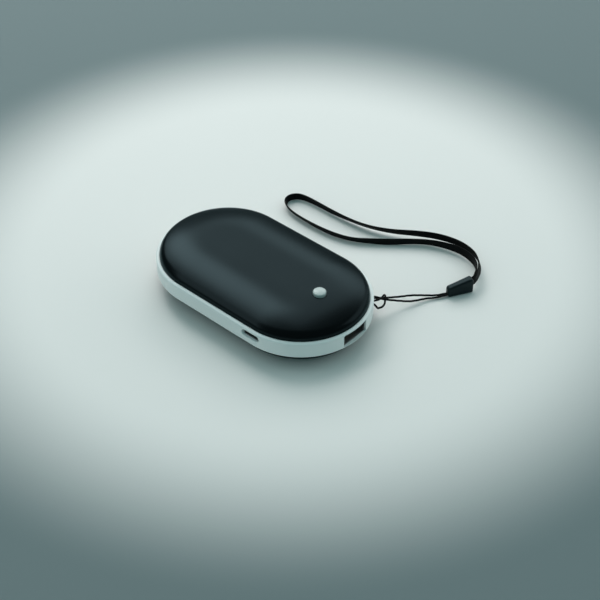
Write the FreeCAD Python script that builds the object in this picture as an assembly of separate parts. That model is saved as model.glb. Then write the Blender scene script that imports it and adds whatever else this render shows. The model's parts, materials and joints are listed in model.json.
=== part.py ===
"""Rechargeable pocket hand warmer with a wrist strap, as an assembly of separate pieces.

Millimetres, +Z up. The origin is on the table under the middle of the body, +X runs along the
body towards the large charging port, and the strap lies on the table on the +Y side.
"""
import FreeCAD
import Part
import math
import os

Vec = FreeCAD.Vector
UP = Vec(0, 0, 1)
ORIGIN = Vec(0, 0, 0)

# Points nearer than this are one, and a rounded corner takes this share of the shorter run beside it
SAME_POINT = 0.0002
ARC_SHARE = 0.45

# Body: a stadium in plan, a plain band between two shallow domes
LENGTH = 100.0
WIDTH = 58.8
BAND_HEIGHT = 7.4
DOME_RISE = 6.6

# Band
BAND_LIP = 1.5
BAND_WALL = 3.0
BAND_EDGE = 1.0
REBATE = 0.45

# Pressed shells
SHELL_WALL = 0.9
SHELL_EDGE = 3.5
SHELL_RIM = 0.3
LAND_HALF = 8.0
SEAM_GAP = 0.05

# Clip rings bonded inside the shells
RING_DEPTH = 1.9
FINGER_WIDTH = 5.0
FINGER_LENGTH = 2.6
HOOK_BITE = 0.4
HOOK_HEIGHT = 0.8
RING_GAP = 0.1
TIP_FINGER_ANGLE = 25.0
TAIL_FINGER_ANGLE = 30.0

# Inner fits
GLUE_GAP = 0.05
INNER_GAP = 0.3
FIT_GAP = 0.02

# Fixing ears inside the band and their screws
EAR_RADIUS = 2.2
EAR_HEIGHT = 1.9
EAR_INSET = 2.3
CHASSIS_EAR_FROM_END = 4.6
CHASSIS_EAR_TO_ARM = 3.0
PCB_EAR_FROM_EDGE = 2.9
PCB_EAR_FROM_PORT = 2.65
PCB_EAR_ANGLE = 45.0
SCREW_RADIUS = 0.75
SCREW_LENGTH = 2.6
SCREW_HEAD_RADIUS = 1.5
SCREW_HEAD_HEIGHT = 1.0
SCREW_CLEARANCE = 0.15

# Strap lug: a pocket in the band with an upright bar across its mouth
LUG_ANGLE = 48.0
LUG_BAR_RADIUS = 0.8
LUG_BAR_INSET = 1.6
LUG_DEPTH = 4.0
LUG_HEIGHT = 5.7
LUG_NEAR_GAP = 1.9
LUG_FAR_GAP = 3.0
LUG_WALL = 1.2

# Main circuit board
PCB_THICKNESS = 1.0
PCB_DROP = 0.3
PCB_BEHIND_BUTTON = 7.0
PCB_ARM_SIDE = 2.25
PCB_ARM_OVERLAP = 2.5
PCB_ARM_BEHIND = 5.5

# Large charging port at the tip
USB_WIDTH = 13.1
USB_HEIGHT = 5.6
USB_SKIN = 0.3
USB_DEPTH = 14.0
USB_RECESS = 1.4
USB_CORNER = 0.5
USB_BLOCK = 4.5
TONGUE_SIDE_GAP = 0.7
TONGUE_THICKNESS = 1.84
TONGUE_RECESS = 1.6
TAB_WIDTH = 1.8
TAB_LENGTH = 3.0
USB_CONTACT_WIDTH = 1.0
USB_CONTACT_PITCH = 2.3
USB_CONTACT_COUNT = 4
CONTACT_THICKNESS = 0.25
CONTACT_TAIL = 0.9
CONTACT_SETBACK = 1.0
PORT_GAP = 0.12

# Small charging port in the long side
MICRO_FROM_END = 0.6
MICRO_WIDTH = 7.5
MICRO_HEIGHT = 2.6
MICRO_SKIN = 0.25
MICRO_DEPTH = 5.4
MICRO_RECESS = 1.0
MICRO_CORNER = 0.6
MICRO_BLOCK = 1.6
MICRO_TONGUE_WIDTH = 3.7
MICRO_TONGUE_THICKNESS = 0.6
MICRO_CONTACT_WIDTH = 0.3
MICRO_CONTACT_PITCH = 0.65
MICRO_CONTACT_COUNT = 5
MICRO_CONTACT_THICKNESS = 0.15
MICRO_MOUTH_WIDTH = 8.9
MICRO_MOUTH_HEIGHT = 3.1

# Push button
BUTTON_FROM_TIP = 19.5
BUTTON_RADIUS = 2.7
BUTTON_GAP = 0.2
BUTTON_PROUD = 1.4
BUTTON_EDGE = 0.6
BUTTON_CROWN = 0.95
BUTTON_TRAVEL = 0.3
FLANGE_RADIUS = 4.1
FLANGE_THICKNESS = 0.8
STEM_RADIUS = 1.5
STEM_GAP = 0.15
GUIDE_WALL = 0.9
GUIDE_FLOOR = 0.8
GUIDE_SPARE = 0.4

# Switch under the button
SWITCH_SIDE = 6.0
SWITCH_BASE_HEIGHT = 3.1
SWITCH_COVER = 0.3
SWITCH_HEIGHT = 5.0
PLUNGER_RADIUS = 1.7
PLUNGER_GAP = 0.1
PLUNGER_FLANGE_RADIUS = 2.1
PLUNGER_FLANGE = 0.8
SNAP_RADIUS = 2.0
SNAP_RISE = 0.35
SNAP_THICKNESS = 0.1
SNAP_GAP = 0.35

# Small components on the board
CHIP_SIDE = 5.0
CHIP_HEIGHT = 0.9
INDUCTOR_SIDE = 6.0
INDUCTOR_HEIGHT = 3.2
COMPONENT_SIDE_Y = 10.5
CAPACITOR_LENGTH = 3.2
CAPACITOR_WIDTH = 1.6
CAPACITOR_AHEAD = 7.5
CAPACITOR_PITCH = 3.6
CAPACITOR_GAP = 0.45
TRANSISTOR_SIDE = 3.0
LED_LENGTH = 1.6
LED_WIDTH = 0.8
LED_HEIGHT = 0.7
LED_Y = 4.4

# Cells, their tray and what lies on them
CHASSIS_THICKNESS = 1.2
CHASSIS_WALL = 1.0
CHASSIS_WALL_RISE = 2.5
CHASSIS_WALL_SHORT = 8.0
CHASSIS_TO_BOARD = 0.3
TAPE_THICKNESS = 0.3
CELL_CORNER_ANGLE = 46.0
CELL_RADIAL_GAP = 1.4
CELL_HEADROOM = 1.6
CELL_TO_PCB = 6.5
CELL_FLANGE = 2.5
CELL_FLANGE_THICKNESS = 0.4
CELL_CORNER = 2.5
CELL_EDGE = 1.2
PAD_THICKNESS = 0.6
PAD_MARGIN = 2.0
TAB_STRIP_WIDTH = 4.0
TAB_STRIP_THICKNESS = 0.15
TAB_STRIP_Y = 7.0
BOARD_THICKNESS = 0.8
BOARD_TO_PCB = 1.6
BOARD_HALF_WIDTH = 13.0
BOARD_MARGIN = 1.0

# Heating films, their sensors and the leads
FILM_THICKNESS = 0.3
FILM_MARGIN = 4.0
FILM_HOLE_GAP = 0.5
SENSOR_LENGTH = 2.0
SENSOR_WIDTH = 1.2
SENSOR_HEIGHT = 0.8
SENSOR_X = -8.0
LEAD_RADIUS = 0.5
LEAD_FROM_EDGE = 1.5
HEATER_LEAD_Y = 12.0
LEAD_STRAIGHT = 2.2
LEAD_BOW = 1.2
BATTERY_LEAD_Y = 4.0
BATTERY_LEAD_RISE = 2.8

# Wrist strap
STRAP_ANGLE = 62.0
STRING_DIAMETER = 0.85
CLASP_START = 35.2
CLASP_LENGTH = 11.5
CLASP_THICKNESS = 3.4
CLASP_LOW_END = 4.7
CLASP_HIGH_END = 7.4
CLASP_CORNER = 1.3
CLASP_EDGE = 0.8
STRING_HOLE_GAP = 0.15
CRIMP_SETBACK = 4.5
CRIMP_LENGTH = 2.5
WEBBING_WIDTH = 3.6
WEBBING_THICKNESS = 0.6
WEBBING_LIFT = 1.2
WEBBING_HALF_SPLIT = 0.35
WEBBING_SLOT_GAP = 0.15
WEBBING_STRAIGHT = 1.5
STRING_HEIGHT = 1.1
STRING_HALF_SPLIT = 0.5
STRING_STRAIGHT = 6.7

# Route of the string between the clasp and the clasp: along the strap, to its left, and height.
# It goes round the lug's bar, turns over its own two strands and comes back round the bar.
STRING_ROUTE = (
    (29.50, -0.10, 0.85), (26.20, 0.60, 1.05), (23.00, 0.10, 1.60), (18.40, -0.20, 2.30),
    (13.40, 0.00, 4.00), (8.00, 0.10, 6.40), (3.60, 1.25, 8.10), (-1.40, 1.40, 8.40),
    (-1.40, -1.40, 8.40), (2.00, -1.50, 8.20), (3.20, -1.90, 6.20), (4.20, -1.70, 4.50),
    (6.20, -0.90, 4.30), (8.00, 0.80, 4.60), (8.50, 2.10, 7.00), (7.60, 1.10, 9.20),
    (5.00, -0.60, 9.60), (1.60, -1.50, 9.60), (-1.40, -1.40, 9.60), (-1.40, 1.40, 9.50),
    (3.40, 1.30, 9.10), (8.40, 0.60, 7.50), (13.90, 1.20, 5.30), (19.80, 2.00, 3.60),
    (25.00, 1.50, 2.40), (29.40, 0.90, 1.40),
)

# Route of the webbing from the clasp round the loop and back: x, y and height of its lower edge
WEBBING_ROUTE = (
    (62.30, 65.60, 1.60), (61.20, 68.60, 1.70), (58.80, 71.90, 1.70), (55.20, 75.40, 1.60),
    (49.60, 79.10, 1.60), (41.20, 80.40, 1.50), (31.40, 78.10, 1.40), (22.70, 73.90, 1.50),
    (13.90, 68.30, 1.30), (4.10, 64.30, 0.90), (-5.70, 62.70, 0.40), (-15.20, 62.20, 0.10),
    (-24.40, 62.30, 0.10), (-30.80, 62.10, 0.10), (-35.00, 60.90, 0.10), (-37.30, 57.70, 0.10),
    (-36.70, 54.20, 0.10), (-33.50, 51.60, 0.20), (-28.50, 50.20, 0.30), (-22.00, 49.60, 0.40),
    (-12.90, 49.30, 0.40), (-4.00, 50.40, 0.30), (3.50, 53.00, 0.20), (9.90, 57.40, 0.10),
    (16.90, 62.80, 0.10), (23.60, 68.90, 0.30), (30.50, 73.60, 0.50), (38.00, 75.90, 0.80),
    (45.00, 76.50, 1.00), (50.40, 75.10, 1.30), (54.60, 72.50, 1.60), (58.00, 69.40, 1.70),
    (60.30, 66.60, 1.60),
)

# Sizes that follow from the ones above
END_R = WIDTH / 2
END_X = LENGTH / 2 - END_R
BAND_LOW = DOME_RISE
BAND_TOP = DOME_RISE + BAND_HEIGHT
MID = DOME_RISE + BAND_HEIGHT / 2
TOP = BAND_TOP + DOME_RISE
LEDGE_LOW = BAND_LOW + REBATE
LEDGE_TOP = BAND_TOP - REBATE
LIP_R = END_R - BAND_LIP
INNER_R = END_R - BAND_WALL
SHELL_R = LIP_R - SEAM_GAP
RING_OUT = SHELL_R - SHELL_WALL - GLUE_GAP
RING_IN = RING_OUT - RING_DEPTH
TRAY_R = RING_IN - INNER_GAP
EAR_R = TRAY_R - EAR_INSET
PCB_TOP = MID - PCB_DROP
PCB_LOW = PCB_TOP - PCB_THICKNESS
BUTTON_X = LENGTH / 2 - BUTTON_FROM_TIP
PCB_EDGE = BUTTON_X - PCB_BEHIND_BUTTON
USB_MOUTH = LENGTH / 2 - USB_RECESS
USB_BACK = USB_MOUTH - USB_DEPTH
TONGUE_LOW = PCB_TOP + CONTACT_THICKNESS
TONGUE_WIDTH = USB_WIDTH - 2 * (USB_SKIN + TONGUE_SIDE_GAP)
MICRO_X = END_X - MICRO_FROM_END
MICRO_MOUTH = -(END_R - MICRO_RECESS)
PCB_ARM_BACK = MICRO_X - MICRO_WIDTH / 2 - PCB_ARM_SIDE
PCB_ARM_FRONT = PCB_EDGE + PCB_ARM_OVERLAP
PCB_EAR_X = max(PCB_EDGE + PCB_EAR_FROM_EDGE, MICRO_X + MICRO_WIDTH / 2 + PCB_EAR_FROM_PORT)
PCB_EAR_BEND = math.degrees(math.acos((PCB_EAR_X - END_X) / EAR_R))
TRANSISTOR_ANGLE = (PCB_EAR_BEND + PCB_EAR_ANGLE) / 2
CHASSIS_EAR_TAIL = -END_X + CHASSIS_EAR_FROM_END
CHASSIS_EAR_TIP = PCB_ARM_BACK - CHASSIS_EAR_TO_ARM
SIDE_FINGER_X = (CHASSIS_EAR_TAIL + CHASSIS_EAR_TIP) / 2
MICRO_Z = PCB_TOP + MICRO_HEIGHT / 2
CHASSIS_LOW = MID - CHASSIS_THICKNESS / 2
CHASSIS_TOP = MID + CHASSIS_THICKNESS / 2
CELL_REACH = RING_IN - CELL_RADIAL_GAP
CELL_BACK = -END_X - CELL_REACH * math.cos(math.radians(CELL_CORNER_ANGLE))
CELL_HALF_WIDTH = CELL_REACH * math.sin(math.radians(CELL_CORNER_ANGLE))
CELL_FRONT = PCB_EDGE - CELL_TO_PCB
CELL_LOW = CHASSIS_TOP + TAPE_THICKNESS
CELL_TOP = TOP - SHELL_WALL - FILM_THICKNESS - CELL_HEADROOM - PAD_THICKNESS
CELL_MID = (CELL_LOW + CELL_TOP) / 2
BOARD_FACE = PCB_EDGE - BOARD_TO_PCB
BOARD_BACK = BOARD_FACE - BOARD_THICKNESS
LEAD_X = PCB_EDGE + LEAD_FROM_EDGE
LUG_BAR_R = END_R - LUG_BAR_INSET


def two_arcs(radius, rise, edge, land, rim):
    """A dome's crown radius, and the angle where its edge arc meets the crown arc."""
    across = radius - edge - land
    drop = rim - rise
    crown = (edge ** 2 - across ** 2 - drop ** 2) / (2 * (drop + edge))
    return crown, math.atan2(drop + crown, across)


CROWN_R, CROWN_JOIN = two_arcs(SHELL_R, DOME_RISE, SHELL_EDGE, LAND_HALF, SHELL_RIM)


class Section:
    """A closed outline of lines and arcs: distance from the body's spine, and height."""

    def __init__(self, distance, height):
        self.first = self.last = Vec(0, distance, height)
        self.edges = []

    def line(self, distance, height):
        """Go straight to a point."""
        target = Vec(0, distance, height)
        self.edges.append(Part.makeLine(self.last, target))
        self.last = target
        return self

    def arc(self, centre, radius, start, end):
        """Follow a circle from one angle to another, starting where the outline is now."""
        def on_circle(angle):
            return Vec(0, centre[0] + radius * math.cos(angle), centre[1] + radius * math.sin(angle))

        target = on_circle(end)
        self.edges.append(Part.Arc(self.last, on_circle((start + end) / 2), target).toShape())
        self.last = target
        return self

    def face(self):
        """The outline, closed with a line where it is still open, as a flat face."""
        if not self.last.isEqual(self.first, SAME_POINT):
            self.line(self.first.y, self.first.z)
        return Part.Face(Part.Wire(self.edges))


def round_the_body(section):
    """Carry a section round the stadium: two straight runs and two half turns."""
    turns = []
    for side in (1, -1):
        placed = section.face()
        placed.translate(Vec(side * END_X, 0, 0))
        turns.append(placed.revolve(Vec(side * END_X, 0, 0), UP, -180 * side))
    start = section.face()
    start.translate(Vec(-END_X, 0, 0))
    run = start.extrude(Vec(2 * END_X, 0, 0))
    other_run = run.copy()
    other_run.rotate(ORIGIN, UP, 180)
    return run.fuse([other_run] + turns).removeSplitter()


def spin(section, x):
    """Turn a section once round an upright axis at x."""
    solid = section.face().revolve(ORIGIN, UP, 360)
    solid.translate(Vec(x, 0, 0))
    return solid


def box(low, high):
    """A block between two corners."""
    return Part.makeBox(high[0] - low[0], high[1] - low[1], high[2] - low[2], Vec(*low))


def block_at(x, y, low, sides, height):
    """A block standing on a height, centred on a place."""
    half_x = sides[0] / 2
    half_y = sides[1] / 2
    return box((x - half_x, y - half_y, low), (x + half_x, y + half_y, low + height))


def post(x, y, low, high, radius):
    """An upright cylinder."""
    return Part.makeCylinder(radius, high - low, Vec(x, y, low))


def stadium(radius, low, high):
    """An upright prism with the body's plan at a given end radius."""
    middle = box((-END_X, -radius, low), (END_X, radius, high))
    ends = [post(side * END_X, 0, low, high, radius) for side in (1, -1)]
    return middle.fuse(ends).removeSplitter()


def soften(shape, radius, direction):
    """Round the straight edges that run along a direction."""
    chosen = []
    for edge in shape.Edges:
        if isinstance(edge.Curve, Part.Line):
            heading = edge.tangentAt(edge.FirstParameter)
            if heading.cross(direction).Length < SAME_POINT:
                chosen.append(edge)
    return shape.makeFillet(radius, chosen)


def row(count, pitch):
    """Places of an even row about zero."""
    return [(index - (count - 1) / 2) * pitch for index in range(count)]


def flip(shape):
    """The same piece on the other side of the body's middle plane."""
    return shape.mirror(Vec(0, 0, MID), UP)


def at_end(shape, angle, side=1):
    """Place a piece drawn along +X from an end's centre at an angle round that end."""
    placed = shape.copy()
    placed.rotate(ORIGIN, UP, angle)
    placed.translate(Vec(side * END_X, 0, 0))
    return placed


def end_point(radius, angle):
    """A place at an angle round the +X end."""
    return END_X + radius * math.cos(math.radians(angle)), radius * math.sin(math.radians(angle))


def spine_distance(x, y):
    """Distance in plan from the body's spine."""
    return math.hypot(max(abs(x) - END_X, 0), y)


def dome_height(distance, inset):
    """Height of the upper dome, moved inwards by an inset, on its land or crown."""
    across = max(distance - LAND_HALF, 0)
    return TOP - CROWN_R + math.sqrt((CROWN_R - inset) ** 2 - across ** 2)


def dome_layer(outer, inner):
    """The upper dome's skin between two insets, down to the band's ledge."""
    edge_centre = (SHELL_R - SHELL_EDGE, BAND_TOP + SHELL_RIM)
    crown_centre = (LAND_HALF, TOP - CROWN_R)
    section = Section(SHELL_R - outer, LEDGE_TOP)
    section.line(SHELL_R - outer, edge_centre[1])
    section.arc(edge_centre, SHELL_EDGE - outer, 0, CROWN_JOIN)
    section.arc(crown_centre, CROWN_R - outer, CROWN_JOIN, math.pi / 2)
    section.line(0, TOP - outer)
    section.line(0, TOP - inner)
    section.line(LAND_HALF, TOP - inner)
    section.arc(crown_centre, CROWN_R - inner, math.pi / 2, CROWN_JOIN)
    section.arc(edge_centre, SHELL_EDGE - inner, CROWN_JOIN, 0)
    section.line(SHELL_R - inner, LEDGE_TOP)
    return round_the_body(section)


def rounded_path(points):
    """Straight runs joined by tangent arcs, and the radii of those arcs."""
    edges = []
    radii = []
    start = points[0]
    for before, corner, after in zip(points, points[1:], points[2:]):
        arriving = corner.sub(before)
        leaving = after.sub(corner)
        trim = ARC_SHARE * min(arriving.Length, leaving.Length)
        half_turn = arriving.getAngle(leaving) / 2
        radius = trim / math.tan(half_turn)
        arriving.normalize()
        leaving.normalize()
        inward = leaving.sub(arriving).normalize()
        arc_start = corner.sub(arriving * trim)
        arc_end = corner.add(leaving * trim)
        arc_middle = corner.add(inward * (radius / math.cos(half_turn) - radius))
        edges.append(Part.LineSegment(start, arc_start).toShape())
        edges.append(Part.Arc(arc_start, arc_middle, arc_end).toShape())
        radii.append(radius)
        start = arc_end
    edges.append(Part.LineSegment(start, points[-1]).toShape())
    return Part.Wire(edges), radii


def sweep(profile, path, upright):
    """Carry a closed profile along a path, turning with it or held upright."""
    pipe = Part.BRepOffsetAPI.MakePipeShell(path)
    if upright:
        pipe.setBiNormalMode(UP)
    pipe.add(profile)
    pipe.build()
    pipe.makeSolid()
    return pipe.shape()


def tube(points, radius):
    """A round wire or cord along rounded runs through some points."""
    path, radii = rounded_path(points)
    direction = points[1].sub(points[0])
    profile = Part.Wire([Part.makeCircle(radius, points[0], direction)])
    return sweep(profile, path, False), path, radii


def report_cord(name, solid, path, radii, area):
    """Print a cord's length, tightest arc and volume against section times length."""
    ratio = solid.Volume / (area * path.Length)
    print(f"{name}: length {path.Length:.1f}, radii {min(radii):.2f} to {max(radii):.1f}, "
          f"volume ratio {ratio:.4f}")


# Band and shells
def band_section():
    """The band: rounded outside edges, a ledge for each shell and a groove for each ring's hooks."""
    groove_r = INNER_R + HOOK_BITE + RING_GAP
    groove_far = FINGER_LENGTH + RING_GAP
    groove_near = FINGER_LENGTH - HOOK_HEIGHT - RING_GAP
    outer = END_R - BAND_EDGE
    section = Section(LIP_R, BAND_LOW)
    section.line(outer, BAND_LOW)
    section.arc((outer, BAND_LOW + BAND_EDGE), BAND_EDGE, -math.pi / 2, 0)
    section.line(END_R, BAND_TOP - BAND_EDGE)
    section.arc((outer, BAND_TOP - BAND_EDGE), BAND_EDGE, 0, math.pi / 2)
    section.line(LIP_R, BAND_TOP)
    section.line(LIP_R, LEDGE_TOP)
    section.line(INNER_R, LEDGE_TOP)
    section.line(INNER_R, LEDGE_TOP - groove_near)
    section.line(groove_r, LEDGE_TOP - groove_near)
    section.line(groove_r, LEDGE_TOP - groove_far)
    section.line(INNER_R, LEDGE_TOP - groove_far)
    section.line(INNER_R, LEDGE_LOW + groove_far)
    section.line(groove_r, LEDGE_LOW + groove_far)
    section.line(groove_r, LEDGE_LOW + groove_near)
    section.line(INNER_R, LEDGE_LOW + groove_near)
    section.line(INNER_R, LEDGE_LOW)
    section.line(LIP_R, LEDGE_LOW)
    return section


def lug_block(extra):
    """The thickened part of the band behind the lug's pocket, grown by some clearance."""
    inner = END_R - LUG_DEPTH - LUG_WALL - extra
    near = LUG_BAR_RADIUS + LUG_NEAR_GAP + LUG_WALL + extra
    far = LUG_BAR_RADIUS + LUG_FAR_GAP + LUG_WALL + extra
    return at_end(box((inner, -near, LEDGE_LOW), (INNER_R + BAND_LIP, far, LEDGE_TOP)), LUG_ANGLE)


def lug_pocket():
    """The space of the lug, open at the band's face."""
    near = LUG_BAR_RADIUS + LUG_NEAR_GAP
    far = LUG_BAR_RADIUS + LUG_FAR_GAP
    low = MID - LUG_HEIGHT / 2
    room = box((END_R - LUG_DEPTH, -near, low), (END_R + BAND_WALL, far, low + LUG_HEIGHT))
    return at_end(room, LUG_ANGLE)


def ear_places():
    """Where the tray and the board are screwed down: x, y, top of the ear, top of the piece on it."""
    places = []
    for x in (CHASSIS_EAR_TAIL, CHASSIS_EAR_TIP):
        for side in (1, -1):
            places.append((x, side * EAR_R, CHASSIS_LOW, CHASSIS_TOP))
    for angle in (PCB_EAR_BEND, -PCB_EAR_BEND, -PCB_EAR_ANGLE):
        places.append((*end_point(EAR_R, angle), PCB_LOW, PCB_TOP))
    return places


def ear(x, y, top):
    """A fixing ear that grows from the band's inner wall, with its screw hole."""
    centre_x = max(min(x, END_X), -END_X)
    outward = Vec(x - centre_x, y, 0)
    reach = INNER_R + HOOK_BITE - outward.Length
    angle = math.degrees(math.atan2(outward.y, outward.x))
    arm = box((0, -EAR_RADIUS, top - EAR_HEIGHT), (reach, EAR_RADIUS, top))
    arm = arm.fuse(post(0, 0, top - EAR_HEIGHT, top, EAR_RADIUS))
    arm = arm.cut(post(0, 0, top - EAR_HEIGHT, top, SCREW_RADIUS + FIT_GAP))
    arm.rotate(ORIGIN, UP, angle)
    arm.translate(Vec(x, y, 0))
    return arm


def usb_room(gap, start):
    """The space of the large port from a place inwards out past the tip, with some clearance."""
    half_width = USB_WIDTH / 2 + gap
    half_height = USB_HEIGHT / 2 + gap
    room = box((start, -half_width, MID - half_height),
               (LENGTH / 2 + BAND_WALL, half_width, MID + half_height))
    return soften(room, USB_CORNER + gap, Vec(1, 0, 0))


def micro_mouth():
    """The round-ended slot in front of the small port."""
    half_width = MICRO_MOUTH_WIDTH / 2
    half_height = MICRO_MOUTH_HEIGHT / 2
    low = (MICRO_X - half_width, -END_R - BAND_WALL, MICRO_Z - half_height)
    high = (MICRO_X + half_width, -INNER_R + BAND_LIP, MICRO_Z + half_height)
    return soften(box(low, high), half_height - FIT_GAP, Vec(0, 1, 0))


def mid_frame():
    """The band with its ports, lug and fixing ears."""
    ears = [ear(x, y, top) for x, y, top, _ in ear_places()]
    frame = round_the_body(band_section()).fuse(ears + [lug_block(0)])
    frame = frame.cut([usb_room(PORT_GAP, INNER_R), micro_mouth(), lug_pocket()])
    low = MID - LUG_HEIGHT / 2
    bar = post(*end_point(LUG_BAR_R, LUG_ANGLE), low, low + LUG_HEIGHT, LUG_BAR_RADIUS)
    return frame.fuse(bar).removeSplitter()


def top_shell():
    """The upper shell with the button's hole."""
    hole = post(BUTTON_X, 0, MID, TOP + BUTTON_PROUD, BUTTON_RADIUS + BUTTON_GAP)
    return dome_layer(0, SHELL_WALL).cut(hole)


def clip_ring():
    """The upper ring: a flange inside the shell's rim, and fingers hooked into the band's groove."""
    flange = Section(RING_IN, LEDGE_TOP).line(RING_OUT, LEDGE_TOP)
    flange.line(RING_OUT, BAND_TOP + SHELL_RIM).line(RING_IN, BAND_TOP + SHELL_RIM)
    face_r = INNER_R - RING_GAP
    nose_r = INNER_R + HOOK_BITE
    foot = LEDGE_TOP - FINGER_LENGTH
    skirt = Section(RING_IN, LEDGE_TOP).line(RING_IN, foot).line(face_r, foot)
    skirt.line(nose_r, foot + HOOK_HEIGHT / 2).line(nose_r, foot + HOOK_HEIGHT)
    skirt.line(face_r, foot + HOOK_HEIGHT).line(face_r, LEDGE_TOP)
    half = FINGER_WIDTH / 2
    radial = box((0, -half, foot), (END_R, half, LEDGE_TOP))
    spots = [at_end(radial, side * TIP_FINGER_ANGLE) for side in (1, -1)]
    spots += [at_end(radial, 180 + side * TAIL_FINGER_ANGLE, -1) for side in (1, -1)]
    spots.append(box((SIDE_FINGER_X - half, -END_R, foot), (SIDE_FINGER_X + half, END_R, LEDGE_TOP)))
    fingers = round_the_body(skirt).common(spots)
    return round_the_body(flange).fuse(fingers).removeSplitter()


# Tray, board and fasteners
def micro_arm(gap):
    """The board's arm beside the small port, grown by some clearance."""
    inward = MICRO_MOUTH + MICRO_DEPTH + PCB_ARM_BEHIND
    return box((PCB_ARM_BACK - gap, -END_R, PCB_LOW), (PCB_ARM_FRONT + gap, inward + gap, CELL_TOP))


def chassis():
    """The tray between the two cells, with a low wall on each side of them."""
    plate = stadium(TRAY_R, CHASSIS_LOW, CHASSIS_TOP)
    front = BOARD_BACK - CHASSIS_TO_BOARD
    plate = plate.common(box((-LENGTH, -WIDTH, CHASSIS_LOW), (front, WIDTH, CHASSIS_TOP)))
    walls = []
    inner = CELL_HALF_WIDTH + INNER_GAP
    for side in (1, -1):
        near, far = sorted((side * inner, side * (inner + CHASSIS_WALL)))
        walls.append(box((-END_X, near, CHASSIS_LOW - CHASSIS_WALL_RISE),
                         (CELL_FRONT - CHASSIS_WALL_SHORT, far, CHASSIS_TOP + CHASSIS_WALL_RISE)))
    holes = [post(x, y, CHASSIS_LOW, top, SCREW_RADIUS + SCREW_CLEARANCE)
             for x, y, _, top in ear_places() if top == CHASSIS_TOP]
    return plate.fuse(walls).cut(holes + [micro_arm(INNER_GAP)]).removeSplitter()


def screws(seat):
    """The screws whose heads sit on a piece with its top at a height."""
    solids = []
    for x, y, _, top in ear_places():
        if top == seat:
            shank = post(x, y, top - SCREW_LENGTH, top, SCREW_RADIUS)
            solids.append(shank.fuse(post(x, y, top, top + SCREW_HEAD_HEIGHT, SCREW_HEAD_RADIUS)))
    return Part.makeCompound(solids)


def main_pcb():
    """The board at the tip, with an arm for the small port and a notch for the large one."""
    board = post(END_X, 0, PCB_LOW, PCB_TOP, TRAY_R)
    board = board.common(box((PCB_EDGE, -WIDTH, PCB_LOW), (LENGTH, WIDTH, PCB_TOP)))
    arm = micro_arm(0).common(stadium(INNER_R - INNER_GAP, PCB_LOW, PCB_TOP))
    notch = usb_room(INNER_GAP, USB_BACK - INNER_GAP)
    holes = [post(x, y, PCB_LOW, top, SCREW_RADIUS + SCREW_CLEARANCE)
             for x, y, _, top in ear_places() if top == PCB_TOP]
    return board.fuse(arm).cut(holes + [notch, lug_block(INNER_GAP)]).removeSplitter()


# Large port
def usb_a_shell():
    """The port's pressed can, with a solder tab on each side."""
    outside = box((USB_BACK, -USB_WIDTH / 2, MID - USB_HEIGHT / 2),
                  (USB_MOUTH, USB_WIDTH / 2, MID + USB_HEIGHT / 2))
    half_width = USB_WIDTH / 2 - USB_SKIN
    half_height = USB_HEIGHT / 2 - USB_SKIN
    inside = box((USB_BACK, -half_width, MID - half_height), (USB_MOUTH, half_width, MID + half_height))
    along = Vec(1, 0, 0)
    can = soften(outside, USB_CORNER, along).cut(soften(inside, USB_CORNER - USB_SKIN, along))
    tabs = []
    for side in (1, -1):
        near, far = sorted((side * (USB_WIDTH / 2 - USB_SKIN / 2), side * (USB_WIDTH / 2 + TAB_WIDTH)))
        tabs.append(box((USB_BACK + TAB_LENGTH, near, PCB_TOP),
                        (USB_BACK + 2 * TAB_LENGTH, far, PCB_TOP + USB_SKIN)))
    return can.fuse(tabs).removeSplitter()


def usb_a_insulator():
    """The block at the back of the can and the tongue that a plug slides round."""
    half_width = USB_WIDTH / 2 - USB_SKIN - FIT_GAP
    half_height = USB_HEIGHT / 2 - USB_SKIN - FIT_GAP
    block = box((USB_BACK, -half_width, MID - half_height),
                (USB_BACK + USB_BLOCK, half_width, MID + half_height))
    block = soften(block, USB_CORNER - USB_SKIN, Vec(1, 0, 0))
    tongue = box((USB_BACK, -TONGUE_WIDTH / 2, TONGUE_LOW),
                 (USB_MOUTH - TONGUE_RECESS, TONGUE_WIDTH / 2, TONGUE_LOW + TONGUE_THICKNESS))
    slots = [box((USB_BACK, y - USB_CONTACT_WIDTH / 2 - FIT_GAP, TONGUE_LOW - CONTACT_THICKNESS - FIT_GAP),
                 (USB_BACK + USB_BLOCK, y + USB_CONTACT_WIDTH / 2 + FIT_GAP, TONGUE_LOW))
             for y in row(USB_CONTACT_COUNT, USB_CONTACT_PITCH)]
    return block.fuse(tongue).cut(slots).removeSplitter()


def usb_a_contacts():
    """Strips under the tongue that run out of the back on to the board."""
    front = USB_MOUTH - TONGUE_RECESS - CONTACT_SETBACK
    return Part.makeCompound([
        box((USB_BACK - CONTACT_TAIL, y - USB_CONTACT_WIDTH / 2, TONGUE_LOW - CONTACT_THICKNESS),
            (front, y + USB_CONTACT_WIDTH / 2, TONGUE_LOW))
        for y in row(USB_CONTACT_COUNT, USB_CONTACT_PITCH)])


# Small port
def micro_usb_shell():
    """The small port's pressed can, standing on the board's arm."""
    back = MICRO_MOUTH + MICRO_DEPTH
    half_width = MICRO_WIDTH / 2
    outside = box((MICRO_X - half_width, MICRO_MOUTH, PCB_TOP),
                  (MICRO_X + half_width, back, PCB_TOP + MICRO_HEIGHT))
    inside = box((MICRO_X - half_width + MICRO_SKIN, MICRO_MOUTH, PCB_TOP + MICRO_SKIN),
                 (MICRO_X + half_width - MICRO_SKIN, back, PCB_TOP + MICRO_HEIGHT - MICRO_SKIN))
    along = Vec(0, 1, 0)
    return soften(outside, MICRO_CORNER, along).cut(soften(inside, MICRO_CORNER - MICRO_SKIN, along))


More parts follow.
